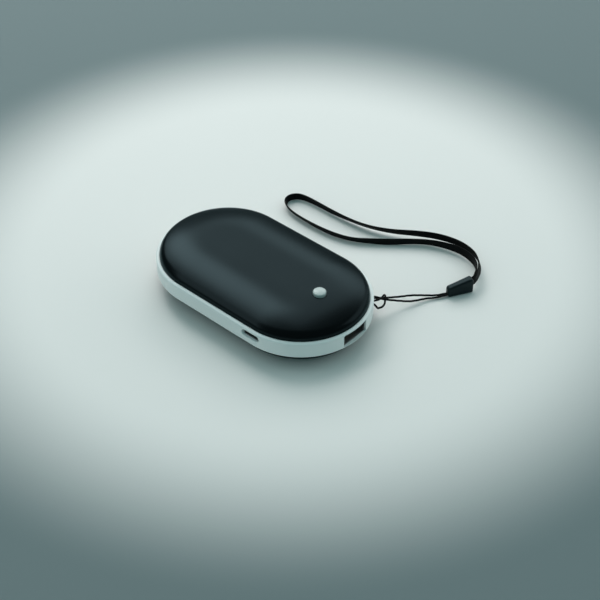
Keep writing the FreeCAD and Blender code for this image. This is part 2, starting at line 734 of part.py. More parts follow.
def micro_usb_insulator():
    """The small port's back block and its thin tongue."""
    back = MICRO_MOUTH + MICRO_DEPTH
    half_width = MICRO_WIDTH / 2 - MICRO_SKIN - FIT_GAP
    low = PCB_TOP + MICRO_SKIN + FIT_GAP
    high = PCB_TOP + MICRO_HEIGHT - MICRO_SKIN - FIT_GAP
    block = box((MICRO_X - half_width, back - MICRO_BLOCK, low), (MICRO_X + half_width, back, high))
    block = soften(block, MICRO_CORNER - MICRO_SKIN, Vec(0, 1, 0))
    half_tongue = MICRO_TONGUE_WIDTH / 2
    tongue = box((MICRO_X - half_tongue, MICRO_MOUTH + CONTACT_SETBACK, MICRO_Z),
                 (MICRO_X + half_tongue, back, MICRO_Z + MICRO_TONGUE_THICKNESS))
    return block.fuse(tongue).removeSplitter()


def micro_usb_contacts():
    """Fine strips under the small port's tongue, in front of its block."""
    back = MICRO_MOUTH + MICRO_DEPTH - MICRO_BLOCK
    front = MICRO_MOUTH + 2 * CONTACT_SETBACK
    return Part.makeCompound([
        box((MICRO_X + x - MICRO_CONTACT_WIDTH / 2, front, MICRO_Z - MICRO_CONTACT_THICKNESS),
            (MICRO_X + x + MICRO_CONTACT_WIDTH / 2, back, MICRO_Z))
        for x in row(MICRO_CONTACT_COUNT, MICRO_CONTACT_PITCH)])


# Button and switch
def flange_top():
    """The highest place of the button's flange, under the sloping inside of the shell."""
    return dome_height(BUTTON_X - END_X + FLANGE_RADIUS, SHELL_WALL) - BUTTON_GAP


def switch_top():
    """Top of the switch's plunger, where the button's stem stands."""
    return PCB_TOP + SWITCH_HEIGHT


def button():
    """The domed cap with its retaining flange and its stem."""
    rim_top = dome_height(BUTTON_X - END_X, 0) + BUTTON_PROUD - BUTTON_CROWN
    crown, join = two_arcs(BUTTON_RADIUS, BUTTON_CROWN, BUTTON_EDGE, 0, 0)
    flange = flange_top()
    foot = flange - FLANGE_THICKNESS
    section = Section(0, switch_top()).line(STEM_RADIUS, switch_top()).line(STEM_RADIUS, foot)
    section.line(FLANGE_RADIUS, foot).line(FLANGE_RADIUS, flange).line(BUTTON_RADIUS, flange)
    section.line(BUTTON_RADIUS, rim_top)
    section.arc((BUTTON_RADIUS - BUTTON_EDGE, rim_top), BUTTON_EDGE, 0, join)
    section.arc((0, rim_top + BUTTON_CROWN - crown), crown, join, math.pi / 2)
    return spin(section, BUTTON_X)


def guide_radius():
    """Outer radius of the button's guide."""
    return FLANGE_RADIUS + INNER_GAP + GUIDE_WALL


def button_guide():
    """A cup bonded under the shell that holds the flange and lets the stem through."""
    floor_top = flange_top() - FLANGE_THICKNESS - BUTTON_TRAVEL - GUIDE_SPARE
    floor_low = floor_top - GUIDE_FLOOR
    cup = post(BUTTON_X, 0, floor_low, TOP, guide_radius())
    cup = cup.cut([post(BUTTON_X, 0, floor_top, TOP, FLANGE_RADIUS + INNER_GAP),
                   post(BUTTON_X, 0, floor_low, floor_top, STEM_RADIUS + STEM_GAP)])
    return cup.cut(dome_layer(-BUTTON_PROUD, SHELL_WALL + FIT_GAP))


def snap_top():
    """Top of the switch's snap disc."""
    return PCB_TOP + SWITCH_BASE_HEIGHT - FIT_GAP - PLUNGER_FLANGE - SNAP_GAP


def switch_base():
    """The switch's body, with a round well for the snap disc and the plunger's foot."""
    base = block_at(BUTTON_X, 0, PCB_TOP, (SWITCH_SIDE, SWITCH_SIDE), SWITCH_BASE_HEIGHT)
    top = PCB_TOP + SWITCH_BASE_HEIGHT
    well = post(BUTTON_X, 0, snap_top() - SNAP_RISE, top, PLUNGER_FLANGE_RADIUS + PLUNGER_GAP)
    return base.cut(well)


def switch_cover():
    """The steel plate that keeps the plunger in."""
    low = PCB_TOP + SWITCH_BASE_HEIGHT
    plate = block_at(BUTTON_X, 0, low, (SWITCH_SIDE, SWITCH_SIDE), SWITCH_COVER)
    return plate.cut(post(BUTTON_X, 0, low, low + SWITCH_COVER, PLUNGER_RADIUS + PLUNGER_GAP))


def switch_plunger():
    """The plunger, with a wider foot under the cover."""
    top = PCB_TOP + SWITCH_BASE_HEIGHT - FIT_GAP
    foot = post(BUTTON_X, 0, top - PLUNGER_FLANGE, top, PLUNGER_FLANGE_RADIUS)
    return foot.fuse(post(BUTTON_X, 0, top, switch_top(), PLUNGER_RADIUS)).removeSplitter()


def switch_dome():
    """The thin domed disc that snaps under the plunger."""
    base = snap_top() - SNAP_RISE
    rise = SNAP_RISE - SNAP_THICKNESS
    outer = (SNAP_RADIUS ** 2 + rise ** 2) / (2 * rise)
    lean = math.asin(SNAP_RADIUS / outer)
    section = Section(SNAP_RADIUS, base).line(SNAP_RADIUS, base + SNAP_THICKNESS)
    section.arc((0, base + SNAP_RISE - outer), outer, math.pi / 2 - lean, math.pi / 2)
    section.line(0, base + rise)
    section.arc((0, base + rise - outer), outer, math.pi / 2, math.pi / 2 - lean)
    return spin(section, BUTTON_X)


# Small components
def on_board(places, sides, height):
    """Blocks standing on the board at some places."""
    return Part.makeCompound([block_at(x, y, PCB_TOP, sides, height) for x, y in places])


def controller_chip():
    """The control chip beside the switch."""
    return on_board([(BUTTON_X, -COMPONENT_SIDE_Y)], (CHIP_SIDE, CHIP_SIDE), CHIP_HEIGHT)


def inductor():
    """The boost converter's coil in its square case."""
    case = block_at(BUTTON_X, COMPONENT_SIDE_Y, PCB_TOP, (INDUCTOR_SIDE, INDUCTOR_SIDE), INDUCTOR_HEIGHT)
    return soften(case, CELL_EDGE, UP)


def capacitors():
    """Four capacitors beside the large port."""
    x = BUTTON_X + CAPACITOR_AHEAD
    y = USB_WIDTH / 2 + TAB_WIDTH + CAPACITOR_GAP + CAPACITOR_WIDTH / 2
    places = [(x + step, side * y) for side in (1, -1) for step in row(2, CAPACITOR_PITCH)]
    return on_board(places, (CAPACITOR_LENGTH, CAPACITOR_WIDTH), CAPACITOR_WIDTH)


def power_transistors():
    """One switching transistor for each heating film."""
    places = [end_point(EAR_R, side * TRANSISTOR_ANGLE) for side in (1, -1)]
    return on_board(places, (TRANSISTOR_SIDE, TRANSISTOR_SIDE), CHIP_HEIGHT)


def status_leds():
    """Two small lamps that light the button from below."""
    return on_board([(BUTTON_X, side * LED_Y) for side in (1, -1)], (LED_LENGTH, LED_WIDTH), LED_HEIGHT)


# Cells
def upper_cell():
    """A pouch cell with its sealed edge at the front."""
    half = CELL_HALF_WIDTH
    pouch = box((CELL_BACK, -half, CELL_LOW), (CELL_FRONT, half, CELL_TOP))
    pouch = soften(pouch, CELL_CORNER, UP)
    rims = [edge for edge in pouch.Edges if edge.BoundBox.ZLength < FIT_GAP]
    pouch = pouch.makeFillet(CELL_EDGE, rims)
    low = CELL_MID - CELL_FLANGE_THICKNESS / 2
    flange = box((CELL_FRONT - CELL_EDGE, -half + CELL_CORNER, low),
                 (CELL_FRONT + CELL_FLANGE, half - CELL_CORNER, low + CELL_FLANGE_THICKNESS))
    return pouch.fuse(flange).removeSplitter()


def pad_over_cell(low, high):
    """A flat sheet over the cell between two heights."""
    half = CELL_HALF_WIDTH - PAD_MARGIN
    return box((CELL_BACK + PAD_MARGIN, -half, low), (CELL_FRONT - PAD_MARGIN, half, high))


def both_sides(shape):
    """A piece and its twin on the other side of the middle plane, as two solids."""
    return Part.makeCompound([shape, flip(shape)])


def cell_tabs():
    """Two terminal strips of each cell, ending on the protection board."""
    low = CELL_MID - TAB_STRIP_THICKNESS / 2
    strips = []
    for side in (1, -1):
        near, far = sorted((side * TAB_STRIP_Y, side * (TAB_STRIP_Y + TAB_STRIP_WIDTH)))
        strips.append(box((CELL_FRONT + CELL_FLANGE, near, low),
                          (BOARD_BACK, far, low + TAB_STRIP_THICKNESS)))
    return Part.makeCompound(strips + [flip(strip) for strip in strips])


def protection_board():
    """The small upright board that joins and protects the cells."""
    half_height = CELL_MID - MID + BOARD_MARGIN
    return box((BOARD_BACK, -BOARD_HALF_WIDTH, MID - half_height),
               (BOARD_FACE, BOARD_HALF_WIDTH, MID + half_height))


# Heating films and leads
def film_height(x, y):
    """Inner face of the upper heating film."""
    return dome_height(spine_distance(x, y), SHELL_WALL + FIT_GAP + FILM_THICKNESS)


def heater_film(with_hole):
    """A heating film bonded inside a shell's crown."""
    outer = CROWN_R - SHELL_WALL - FIT_GAP
    inner = outer - FILM_THICKNESS
    centre = (LAND_HALF, TOP - CROWN_R)
    across = SHELL_R - SHELL_EDGE - FILM_MARGIN - LAND_HALF
    section = Section(0, centre[1] + inner).line(LAND_HALF, centre[1] + inner)
    section.arc(centre, inner, math.pi / 2, math.acos(across / inner))
    section.line(LAND_HALF + across, centre[1] + math.sqrt(outer ** 2 - across ** 2))
    section.arc(centre, outer, math.acos(across / outer), math.pi / 2)
    section.line(0, centre[1] + outer)
    film = round_the_body(section)
    if with_hole:
        film = film.cut(post(BUTTON_X, 0, MID, TOP, guide_radius() + FILM_HOLE_GAP))
    return film


def thermistors():
    """A temperature sensor on the inside of each film."""
    top = film_height(SENSOR_X, 0)
    sides = (SENSOR_LENGTH, SENSOR_WIDTH)
    return both_sides(block_at(SENSOR_X, 0, top - SENSOR_HEIGHT, sides, SENSOR_HEIGHT))


def bowed_lead(y, film, board):
    """A lead from a film to the board, with a little slack."""
    toward = math.copysign(LEAD_STRAIGHT, board - film)
    middle = (film + board) / 2
    points = [Vec(LEAD_X, y, film), Vec(LEAD_X, y, film + toward), Vec(LEAD_X - LEAD_BOW, y, middle),
              Vec(LEAD_X, y, board - toward), Vec(LEAD_X, y, board)]
    return tube(points, LEAD_RADIUS)[0]


def heater_leads():
    """Two leads of each film."""
    leads = []
    for side in (1, -1):
        y = side * HEATER_LEAD_Y
        reach = film_height(LEAD_X + LEAD_RADIUS, abs(y) + LEAD_RADIUS)
        leads.append(bowed_lead(y, reach, PCB_TOP))
        leads.append(bowed_lead(y, 2 * MID - reach, PCB_LOW))
    return Part.makeCompound(leads)


def battery_leads():
    """Two leads from the protection board down to the main board."""
    leads = []
    for side in (1, -1):
        y = side * BATTERY_LEAD_Y
        high = PCB_TOP + BATTERY_LEAD_RISE
        points = [Vec(BOARD_FACE, y, high), Vec(LEAD_X, y, high), Vec(LEAD_X, y, PCB_TOP)]
        leads.append(tube(points, LEAD_RADIUS)[0])
    return Part.makeCompound(leads)


# Wrist strap
def strap_point(along, left, height):
    """A place in the strap's own frame, whose origin is the lug's bar."""
    bar_x, bar_y = end_point(LUG_BAR_R, LUG_ANGLE)
    angle = math.radians(STRAP_ANGLE)
    return Vec(bar_x + along * math.cos(angle) - left * math.sin(angle),
               bar_y + along * math.sin(angle) + left * math.cos(angle), height)


def in_strap_frame(shape):
    """Place a piece drawn in the strap's own frame."""
    placed = shape.copy()
    placed.rotate(ORIGIN, UP, STRAP_ANGLE)
    placed.translate(strap_point(0, 0, 0))
    return placed


def crimp_start():
    """Where the crimp begins along the strap."""
    return CLASP_START + CRIMP_SETBACK


def crimp_end():
    """Where the crimp ends along the strap."""
    return crimp_start() + CRIMP_LENGTH


def webbing_slot(gap):
    """The clasp's slot from the crimp's far face out of its tall end, less some clearance."""
    half = WEBBING_HALF_SPLIT + WEBBING_THICKNESS / 2 + WEBBING_SLOT_GAP - gap
    low = WEBBING_LIFT - WEBBING_SLOT_GAP + gap
    high = WEBBING_LIFT + WEBBING_WIDTH + WEBBING_SLOT_GAP - gap
    return half, low, high


def strap_clasp():
    """The tapered clasp on its edge, with a slot for the webbing and a way in for the string."""
    end = CLASP_START + CLASP_LENGTH
    half = CLASP_THICKNESS / 2
    corners = [Vec(CLASP_START, -half, 0), Vec(end, -half, 0), Vec(end, -half, CLASP_HIGH_END),
               Vec(CLASP_START, -half, CLASP_LOW_END)]
    side = Part.Face(Part.makePolygon(corners + corners[:1]))
    body = side.extrude(Vec(0, CLASP_THICKNESS, 0))
    body = soften(body, CLASP_CORNER, Vec(0, 1, 0))
    rims = [edge for edge in body.Edges if edge.BoundBox.YLength < FIT_GAP]
    body = body.makeFillet(CLASP_EDGE, rims)
    slot_half, low, high = webbing_slot(0)
    slot = box((crimp_start(), -slot_half, low), (end, slot_half, high))
    hole_half = STRING_HALF_SPLIT + STRING_DIAMETER / 2 + STRING_HOLE_GAP
    hole_rise = STRING_DIAMETER / 2 + STRING_HOLE_GAP
    hole = box((CLASP_START, -hole_half, STRING_HEIGHT - hole_rise),
               (crimp_start(), hole_half, STRING_HEIGHT + hole_rise))
    return in_strap_frame(body.cut([slot, hole]))


def strap_crimp():
    """The steel crimp inside the clasp that grips the string and the webbing."""
    half, low, high = webbing_slot(FIT_GAP)
    return in_strap_frame(box((crimp_start(), -half, low), (crimp_end(), half, high)))


def lanyard_string():
    """The thin looped string, hitched round the lug's bar, with both ends on the crimp."""
    ends = (crimp_start(), crimp_start() - STRING_STRAIGHT)
    points = [strap_point(along, -STRING_HALF_SPLIT, STRING_HEIGHT) for along in ends]
    points += [strap_point(*place) for place in STRING_ROUTE]
    points += [strap_point(along, STRING_HALF_SPLIT, STRING_HEIGHT) for along in reversed(ends)]
    solid, path, radii = tube(points, STRING_DIAMETER / 2)
    report_cord("string", solid, path, radii, math.pi * STRING_DIAMETER ** 2 / 4)
    return solid


def wrist_strap():
    """The webbing loop, standing on its edge, with both ends on the crimp."""
    ends = (crimp_end(), CLASP_START + CLASP_LENGTH + WEBBING_STRAIGHT)
    points = [strap_point(along, -WEBBING_HALF_SPLIT, WEBBING_LIFT) for along in ends]
    points += [Vec(*place) for place in WEBBING_ROUTE]
    points += [strap_point(along, WEBBING_HALF_SPLIT, WEBBING_LIFT) for along in reversed(ends)]
    path, radii = rounded_path(points)
    direction = points[1].sub(points[0]).normalize()
    across = UP.cross(direction) * (WEBBING_THICKNESS / 2)
    rise = UP * WEBBING_WIDTH
    corners = [points[0].sub(across), points[0].add(across), points[0].add(across).add(rise),
               points[0].sub(across).add(rise)]
    solid = sweep(Part.makePolygon(corners + corners[:1]), path, True)
    report_cord("webbing", solid, path, radii, WEBBING_WIDTH * WEBBING_THICKNESS)
    return solid


NODES = {
    "mid_frame": mid_frame(),
    "top_shell": top_shell(),
    "bottom_shell": flip(dome_layer(0, SHELL_WALL)),
    "top_clip_ring": clip_ring(),
    "bottom_clip_ring": flip(clip_ring()),
    "chassis": chassis(),
    "chassis_screws": screws(CHASSIS_TOP),
    "main_pcb": main_pcb(),
    "pcb_screws": screws(PCB_TOP),
    "usb_a_shell": usb_a_shell(),
    "usb_a_insulator": usb_a_insulator(),
    "usb_a_contacts": usb_a_contacts(),
    "micro_usb_shell": micro_usb_shell(),
    "micro_usb_insulator": micro_usb_insulator(),
    "micro_usb_contacts": micro_usb_contacts(),
    "button": button(),
    "button_guide": button_guide(),
    "switch_base": switch_base(),
    "switch_cover": switch_cover(),
    "switch_plunger": switch_plunger(),
    "switch_dome": switch_dome(),
    "controller_chip": controller_chip(),
    "inductor": inductor(),
    "capacitors": capacitors(),
    "power_transistors": power_transistors(),
    "status_leds": status_leds(),
    "upper_cell": upper_cell(),
    "lower_cell": flip(upper_cell()),
    "cell_tapes": both_sides(pad_over_cell(CHASSIS_TOP, CELL_LOW)),
    "insulation_pads": both_sides(pad_over_cell(CELL_TOP, CELL_TOP + PAD_THICKNESS)),
    "cell_tabs": cell_tabs(),
    "protection_board": protection_board(),
    "battery_leads": battery_leads(),
    "top_heater_film": heater_film(True),
    "bottom_heater_film": flip(heater_film(False)),
    "thermistors": thermistors(),
    "heater_leads": heater_leads(),
    "lanyard_string": lanyard_string(),
    "strap_clasp": strap_clasp(),
    "strap_crimp": strap_crimp(),
    "wrist_strap": wrist_strap(),
}

os.makedirs("parts", exist_ok=True)
for name, shape in NODES.items():
    shape.exportStep(f"parts/{name}.step")
    print(f"{name}: {len(shape.Solids)} solids, {shape.Volume:.1f} mm3, valid {shape.isValid()}")
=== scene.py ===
"""Looks of the rechargeable hand warmer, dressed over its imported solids.

Sizes are in millimetres, in the solids' own frame (+X towards the large port, +Z up, origin on the
table under the body), and become metres when a mesh is written.
"""
import json
import logging
import math
from collections.abc import Sequence
from dataclasses import dataclass, field
from enum import Enum

import bmesh
import bpy
import numpy as np
from mathutils import Matrix, Vector


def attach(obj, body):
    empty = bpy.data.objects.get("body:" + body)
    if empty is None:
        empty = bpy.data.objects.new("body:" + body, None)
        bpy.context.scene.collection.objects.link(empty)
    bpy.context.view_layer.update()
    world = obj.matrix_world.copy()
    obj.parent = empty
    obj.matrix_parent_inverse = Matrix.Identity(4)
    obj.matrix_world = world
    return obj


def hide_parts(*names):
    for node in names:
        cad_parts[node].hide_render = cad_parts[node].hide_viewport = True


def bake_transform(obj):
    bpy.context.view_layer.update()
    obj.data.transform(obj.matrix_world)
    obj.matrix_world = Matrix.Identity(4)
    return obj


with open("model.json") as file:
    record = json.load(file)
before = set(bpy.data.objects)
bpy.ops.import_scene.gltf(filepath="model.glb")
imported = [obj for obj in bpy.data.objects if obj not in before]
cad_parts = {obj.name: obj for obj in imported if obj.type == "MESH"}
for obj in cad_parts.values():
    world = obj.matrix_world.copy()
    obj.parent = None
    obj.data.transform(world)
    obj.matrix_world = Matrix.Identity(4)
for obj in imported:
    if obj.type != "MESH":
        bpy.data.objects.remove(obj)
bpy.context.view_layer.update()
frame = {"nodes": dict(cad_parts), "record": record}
LOG = logging.getLogger("hand_warmer")
MM = 0.001
# Points this close become one, and edges this short go, in millimetres
WELD = 0.002
SPECK = 0.001
# Room for rounding where sizes are compared
ROUNDING = 1e-6
# Noise: features in a metre, and how many finer layers are added
GRAIN_PITCH = 4000.0
GRAIN_DETAIL = 3.0
BROAD_PITCH = 60.0
BROAD_DETAIL = 4.0
# Features in a millimetre of cloth
FRAY_PITCH = 5.0
# The mix node's colour sockets, by number because their names are shared with its other sockets
MIX_LOW = 6
MIX_HIGH = 7
MIX_RESULT = 2
SPLINE_ORDER = 3
UPWARD = (0.0, 0.0, 1.0)
Array = np.ndarray
Measure = Array | float
Pair = tuple[float, float]
Triple = tuple[float, float, float]
Socket = bpy.types.NodeSocket


class Body(Enum):
    """The rigid bodies that pieces ride on."""

    CASE = "case"
    BUTTON = "push_button"
    STRAP = "strap"


class Slot(Enum):
    """The record's material slots."""

    SHELL = "shell_black"
    BAND = "band_white"
    BUTTON = "button_white"
    INNER = "inner_plastic"
    BOARD = "board_green"
    STEEL = "steel"
    CONTACT = "contact_metal"
    PORT = "port_plastic"
    CHIP = "component_black"
    CERAMIC = "component_tan"
    LAMP = "lamp_clear"
    FOIL = "cell_foil"
    FOAM = "foam_grey"
    FILM = "film_amber"
    LEAD = "lead_red"
    STRING = "string_black"
    CLASP = "clasp_black"
    WEBBING = "webbing_black"


# Mesh making
def grid_quads(rows: int, columns: int, round_rows: bool, round_columns: bool) -> Array:
    """Four-cornered faces between neighbours of a grid.

    Args:
        rows: number of rows of points.
        columns: number of points in a row.
        round_rows: whether the last row joins the first.
        round_columns: whether the last column joins the first.

    Returns:
        Faces as point numbers, shaped (face rows, face columns, 4).
    """
    row = np.arange(rows if round_rows else rows - 1)[:, None]
    column = np.arange(columns if round_columns else columns - 1)[None, :]
    next_row = (row + 1) % rows
    next_column = (column + 1) % columns
    corners = (row * columns + column, row * columns + next_column,
               next_row * columns + next_column, next_row * columns + column)
    return np.stack(np.broadcast_arrays(*corners), axis=-1)


@dataclass
class Surface:
    """A mesh in the making: patches of points, their faces and the faces' texture places."""

    points: list[Array] = field(default_factory=list)
    faces: list[Array] = field(default_factory=list)
    places: list[Array] = field(default_factory=list)
    total: int = 0

    def add(self, points: Array, round_rows: bool = False, round_columns: bool = False,
            keep: Array | None = None, lie: tuple[Array, Array] | None = None) -> None:
        """Add a grid patch.

        Args:
            points: places in millimetres, shaped (rows, columns, 3).
            round_rows: whether the last row joins the first.
            round_columns: whether the last column joins the first.
            keep: which faces stay, shaped as the face grid, or all of them.
            lie: texture places of the rows and of the columns, one more where a side is closed.
        """
        rows, columns = points.shape[:2]
        quads = grid_quads(rows, columns, round_rows, round_columns)
        chosen = np.ones(quads.shape[:2], bool) if keep is None else keep
        self.points.append(points.reshape(-1, 3))
        self.faces.append(quads[chosen] + self.total)
        if lie is not None:
            row = np.arange(quads.shape[0])[:, None]
            column = np.arange(quads.shape[1])[None, :]
            along = [lie[0][corner] + 0 * column for corner in (row, row, row + 1, row + 1)]
            across = [lie[1][corner] + 0 * row for corner in (column, column + 1, column + 1, column)]
            self.places.append(np.stack((np.stack(along, -1), np.stack(across, -1)), -1)[chosen])
        self.total += rows * columns

    def build(self, name: str, crease: float = 40.0) -> bpy.types.Object:
        """Weld the patches into one outward-facing mesh object.

        Args:
            name: the piece's name.
            crease: edges that turn by more than this many degrees stay sharp.

        Returns:
            The object, at the origin.
        """
        mesh = bpy.data.meshes.new(name)
        points = np.concatenate(self.points) * MM
        faces = np.concatenate(self.faces)
        mesh.from_pydata(points.tolist(), [], faces.tolist())
        if self.places:
            layer = mesh.uv_layers.new(name="lie")
            layer.data.foreach_set("uv", np.concatenate(self.places).astype(np.float32).ravel())
        work = bmesh.new()
        work.from_mesh(mesh)
        bmesh.ops.remove_doubles(work, verts=work.verts[:], dist=WELD * MM)
        bmesh.ops.dissolve_degenerate(work, edges=work.edges[:], dist=SPECK * MM)
        bmesh.ops.recalc_face_normals(work, faces=work.faces[:])
        work.to_mesh(mesh)
        work.free()
        mesh.polygons.foreach_set("use_smooth", np.ones(len(mesh.polygons), bool))
        mesh.set_sharp_from_angle(angle=math.radians(crease))
        piece = bpy.data.objects.new(name, mesh)
        bpy.context.scene.collection.objects.link(piece)
        return piece


def arc(centre: Pair, radius: float, start: float, end: float, steps: int) -> Array:
    """Points on a circle: centre plus radius times cosine and sine of an even run of angles.

    Args:
        centre: the circle's middle.
        radius: its radius.
        start: first angle, in degrees.
        end: last angle, in degrees.
        steps: number of points.

    Returns:
        Points shaped (steps, 2).
    """
    angle = np.radians(np.linspace(start, end, steps))
    return np.stack((centre[0] + radius * np.cos(angle), centre[1] + radius * np.sin(angle)), -1)


def straight(start: Sequence[float], end: Sequence[float], steps: int) -> Array:
    """Even points from one place to another, shaped (steps, number of coordinates)."""
    return np.linspace(np.asarray(start, float), np.asarray(end, float), steps)


def rounded_rectangle(half_width: float, half_height: float, corner: float, steps: int = 6,
                      edge_steps: int = 5) -> Array:
    """A rectangle's outline with round corners, anticlockwise from its lower right corner.

    Each corner is a quarter circle and each side an even run of points between two corners.

    Args:
        half_width: half of its width.
        half_height: half of its height.
        corner: radius of its corners.
        steps: points on each corner.
        edge_steps: points on each side, its ends left out.

    Returns:
        Points shaped (count, 2).
    """
    signs = ((1, -1, -90), (1, 1, 0), (-1, 1, 90), (-1, -1, 180))
    x, y = half_width - corner, half_height - corner
    quarters = [arc((sx * x, sy * y), corner, first, first + 90, steps) for sx, sy, first in signs]
    runs = []
    for quarter, following in zip(quarters, quarters[1:] + quarters[:1]):
        runs += [quarter, straight(quarter[-1], following[0], edge_steps + 2)[1:-1]]
    return np.concatenate(runs)


def spun(profile: Array, x: float, y: float, steps: int) -> Array:
    """Carry a profile of radius and height once round an upright axis.

    Args:
        profile: radius and height of each point, shaped (count, 2).
        x: the axis's place.
        y: the axis's place.
        steps: points round the axis.

    Returns:
        Points shaped (profile points, steps, 3).
    """
    angle = np.linspace(0, 2 * math.pi, steps, endpoint=False)
    radius = profile[:, :1]
    height = np.broadcast_to(profile[:, 1:], (len(profile), steps))
    return np.stack((x + radius * np.cos(angle), y + radius * np.sin(angle), height), -1)


# Finishes
def colour(value: Sequence[float]) -> tuple[float, float, float, float]:
    """A colour with full cover."""
    return (value[0], value[1], value[2], 1.0)


def fill(node: bpy.types.Node, values: dict[str, object]) -> None:
    """Set a node's input values by their names."""
    for name, value in values.items():
        node.inputs[name].default_value = value


@dataclass
class Wiring:
    """A node tree and the few moves that wire it."""

    tree: bpy.types.NodeTree

    def node(self, kind: str, **settings: object) -> bpy.types.Node:
        """Add a node and set its options.

        Args:
            kind: the node's type.
            settings: its options by name.

        Returns:
            The node.
        """
        made = self.tree.nodes.new(kind)
        for name, value in settings.items():
            setattr(made, name, value)
        return made

    def link(self, source: Socket, target: Socket) -> None:
        """Join two sockets."""
        self.tree.links.new(source, target)

    def math(self, operation: str, first: Socket, second: Socket | float | None = None) -> Socket:
        """A sum on one or two values.

        Args:
            operation: what to do.
            first: the first value's socket.
            second: the second value's socket, a number, or nothing.

        Returns:
            The result's socket.
        """
        made = self.node("ShaderNodeMath", operation=operation)
        self.link(first, made.inputs[0])
        if isinstance(second, Socket):
            self.link(second, made.inputs[1])
        elif second is not None:
            made.inputs[1].default_value = second
        return made.outputs[0]

    def blend(self, mask: Socket, low: Sequence[float], high: Sequence[float]) -> Socket:
        """A colour that goes evenly from one to another as a mask goes from 0 to 1.

        Args:
            mask: the mask's socket.
            low: the colour at 0.
            high: the colour at 1.

        Returns:
            The colour's socket.
        """
        made = self.node("ShaderNodeMix", data_type="RGBA")
        self.link(mask, made.inputs["Factor"])
        made.inputs[MIX_LOW].default_value = colour(low)
        made.inputs[MIX_HIGH].default_value = colour(high)
        return made.outputs[MIX_RESULT]

    def span(self, value: Socket, low: float, high: float) -> Socket:
        """A value from 0 to 1 moved evenly to lie between two others.

        Args:
            value: the value's socket.
            low: what 0 becomes.
            high: what 1 becomes.

        Returns:
            The result's socket.
        """
        made = self.node("ShaderNodeMapRange")
        fill(made, {"To Min": low, "To Max": high})
        self.link(value, made.inputs["Value"])
        return made.outputs["Result"]


def new_group(name: str, inputs: dict[str, float],
              outputs: Sequence[str]) -> tuple[bpy.types.NodeTree, Wiring]:
    """An empty shader group with a vector input, number inputs and number outputs.

    Args:
        name: the group's name.
        inputs: number inputs with their first values.
        outputs: number outputs.

    Returns:
        The group and its wiring.
    """
    group = bpy.data.node_groups.new(name, "ShaderNodeTree")
    group.interface.new_socket(name="Place", in_out="INPUT", socket_type="NodeSocketVector")
    for label, value in inputs.items():
        socket = group.interface.new_socket(name=label, in_out="INPUT", socket_type="NodeSocketFloat")
        socket.default_value = value
    for label in outputs:
        group.interface.new_socket(name=label, in_out="OUTPUT", socket_type="NodeSocketFloat")
    return group, Wiring(group)


def moulding_group() -> bpy.types.NodeTree:
    """Fine grain of a moulded or blasted surface, and the broad unevenness of its gloss.

    Grain is noise at a fine pitch, and unevenness is slow noise, both in the piece's own place.

    Returns:
        The group.
    """
    pitches = {"Grain Pitch": GRAIN_PITCH, "Broad Pitch": BROAD_PITCH}
    group, wire = new_group("moulding", pitches, ("Grain", "Broad"))
    inlet = wire.node("NodeGroupInput")
    outlet = wire.node("NodeGroupOutput")
    for output, detail in (("Grain", GRAIN_DETAIL), ("Broad", BROAD_DETAIL)):
        noise = wire.node("ShaderNodeTexNoise")
        fill(noise, {"Detail": detail})
        wire.link(inlet.outputs["Place"], noise.inputs["Vector"])
        wire.link(inlet.outputs[output + " Pitch"], noise.inputs["Scale"])
        wire.link(noise.outputs["Fac"], outlet.inputs[output])
    return group


def weave_group() -> bpy.types.NodeTree:
    """Threads that go over and under: two sine waves multiplied, along and across the cloth.

    The place is the cloth's own, in millimetres along and across it.

    Returns:
        The group.
    """
    first_values = {"Along Turns": 1.0, "Across Turns": 1.0, "Slant": 0.0}
    group, wire = new_group("weave", first_values, ("Thread", "Fray"))
    inlet = wire.node("NodeGroupInput")
    outlet = wire.node("NodeGroupOutput")
    parts = wire.node("ShaderNodeSeparateXYZ")
    wire.link(inlet.outputs["Place"], parts.inputs[0])
    across = wire.math("MULTIPLY", parts.outputs["Y"], inlet.outputs["Across Turns"])
    slanted = wire.math("ADD", wire.math("MULTIPLY", parts.outputs["X"], inlet.outputs["Along Turns"]),
                        wire.math("MULTIPLY", parts.outputs["Y"], inlet.outputs["Slant"]))
    waves = [wire.math("SINE", wire.math("MULTIPLY", turns, 2 * math.pi)) for turns in (across, slanted)]
    product = wire.math("MULTIPLY", *waves)
    wire.link(wire.math("ADD", wire.math("MULTIPLY", product, 0.5), 0.5), outlet.inputs["Thread"])
    noise = wire.node("ShaderNodeTexNoise")
    fill(noise, {"Scale": FRAY_PITCH})
    wire.link(inlet.outputs["Place"], noise.inputs["Vector"])
    wire.link(noise.outputs["Fac"], outlet.inputs["Fray"])
    return group


MOULDING = moulding_group()
WEAVE = weave_group()


def new_material(name: str) -> tuple[bpy.types.Material, Wiring, bpy.types.Node]:
    """A material made of nodes.

    Args:
        name: its name.

    Returns:
        The material, its wiring and its shader.
    """
    material = bpy.data.materials.new(name)
    material.use_nodes = True
    return material, Wiring(material.node_tree), material.node_tree.nodes["Principled BSDF"]


def bump(wire: Wiring, shader: bpy.types.Node, height: Socket, depth: float) -> None:
    """Let a height stand out of a surface.

    Args:
        wire: the material's wiring.
        shader: its shader.
        height: the height's socket.
        depth: how far a height of 1 stands out, in millimetres.
    """
    made = wire.node("ShaderNodeBump")
    fill(made, {"Strength": 1.0, "Distance": depth * MM})
    wire.link(height, made.inputs["Height"])
    wire.link(made.outputs["Normal"], shader.inputs["Normal"])


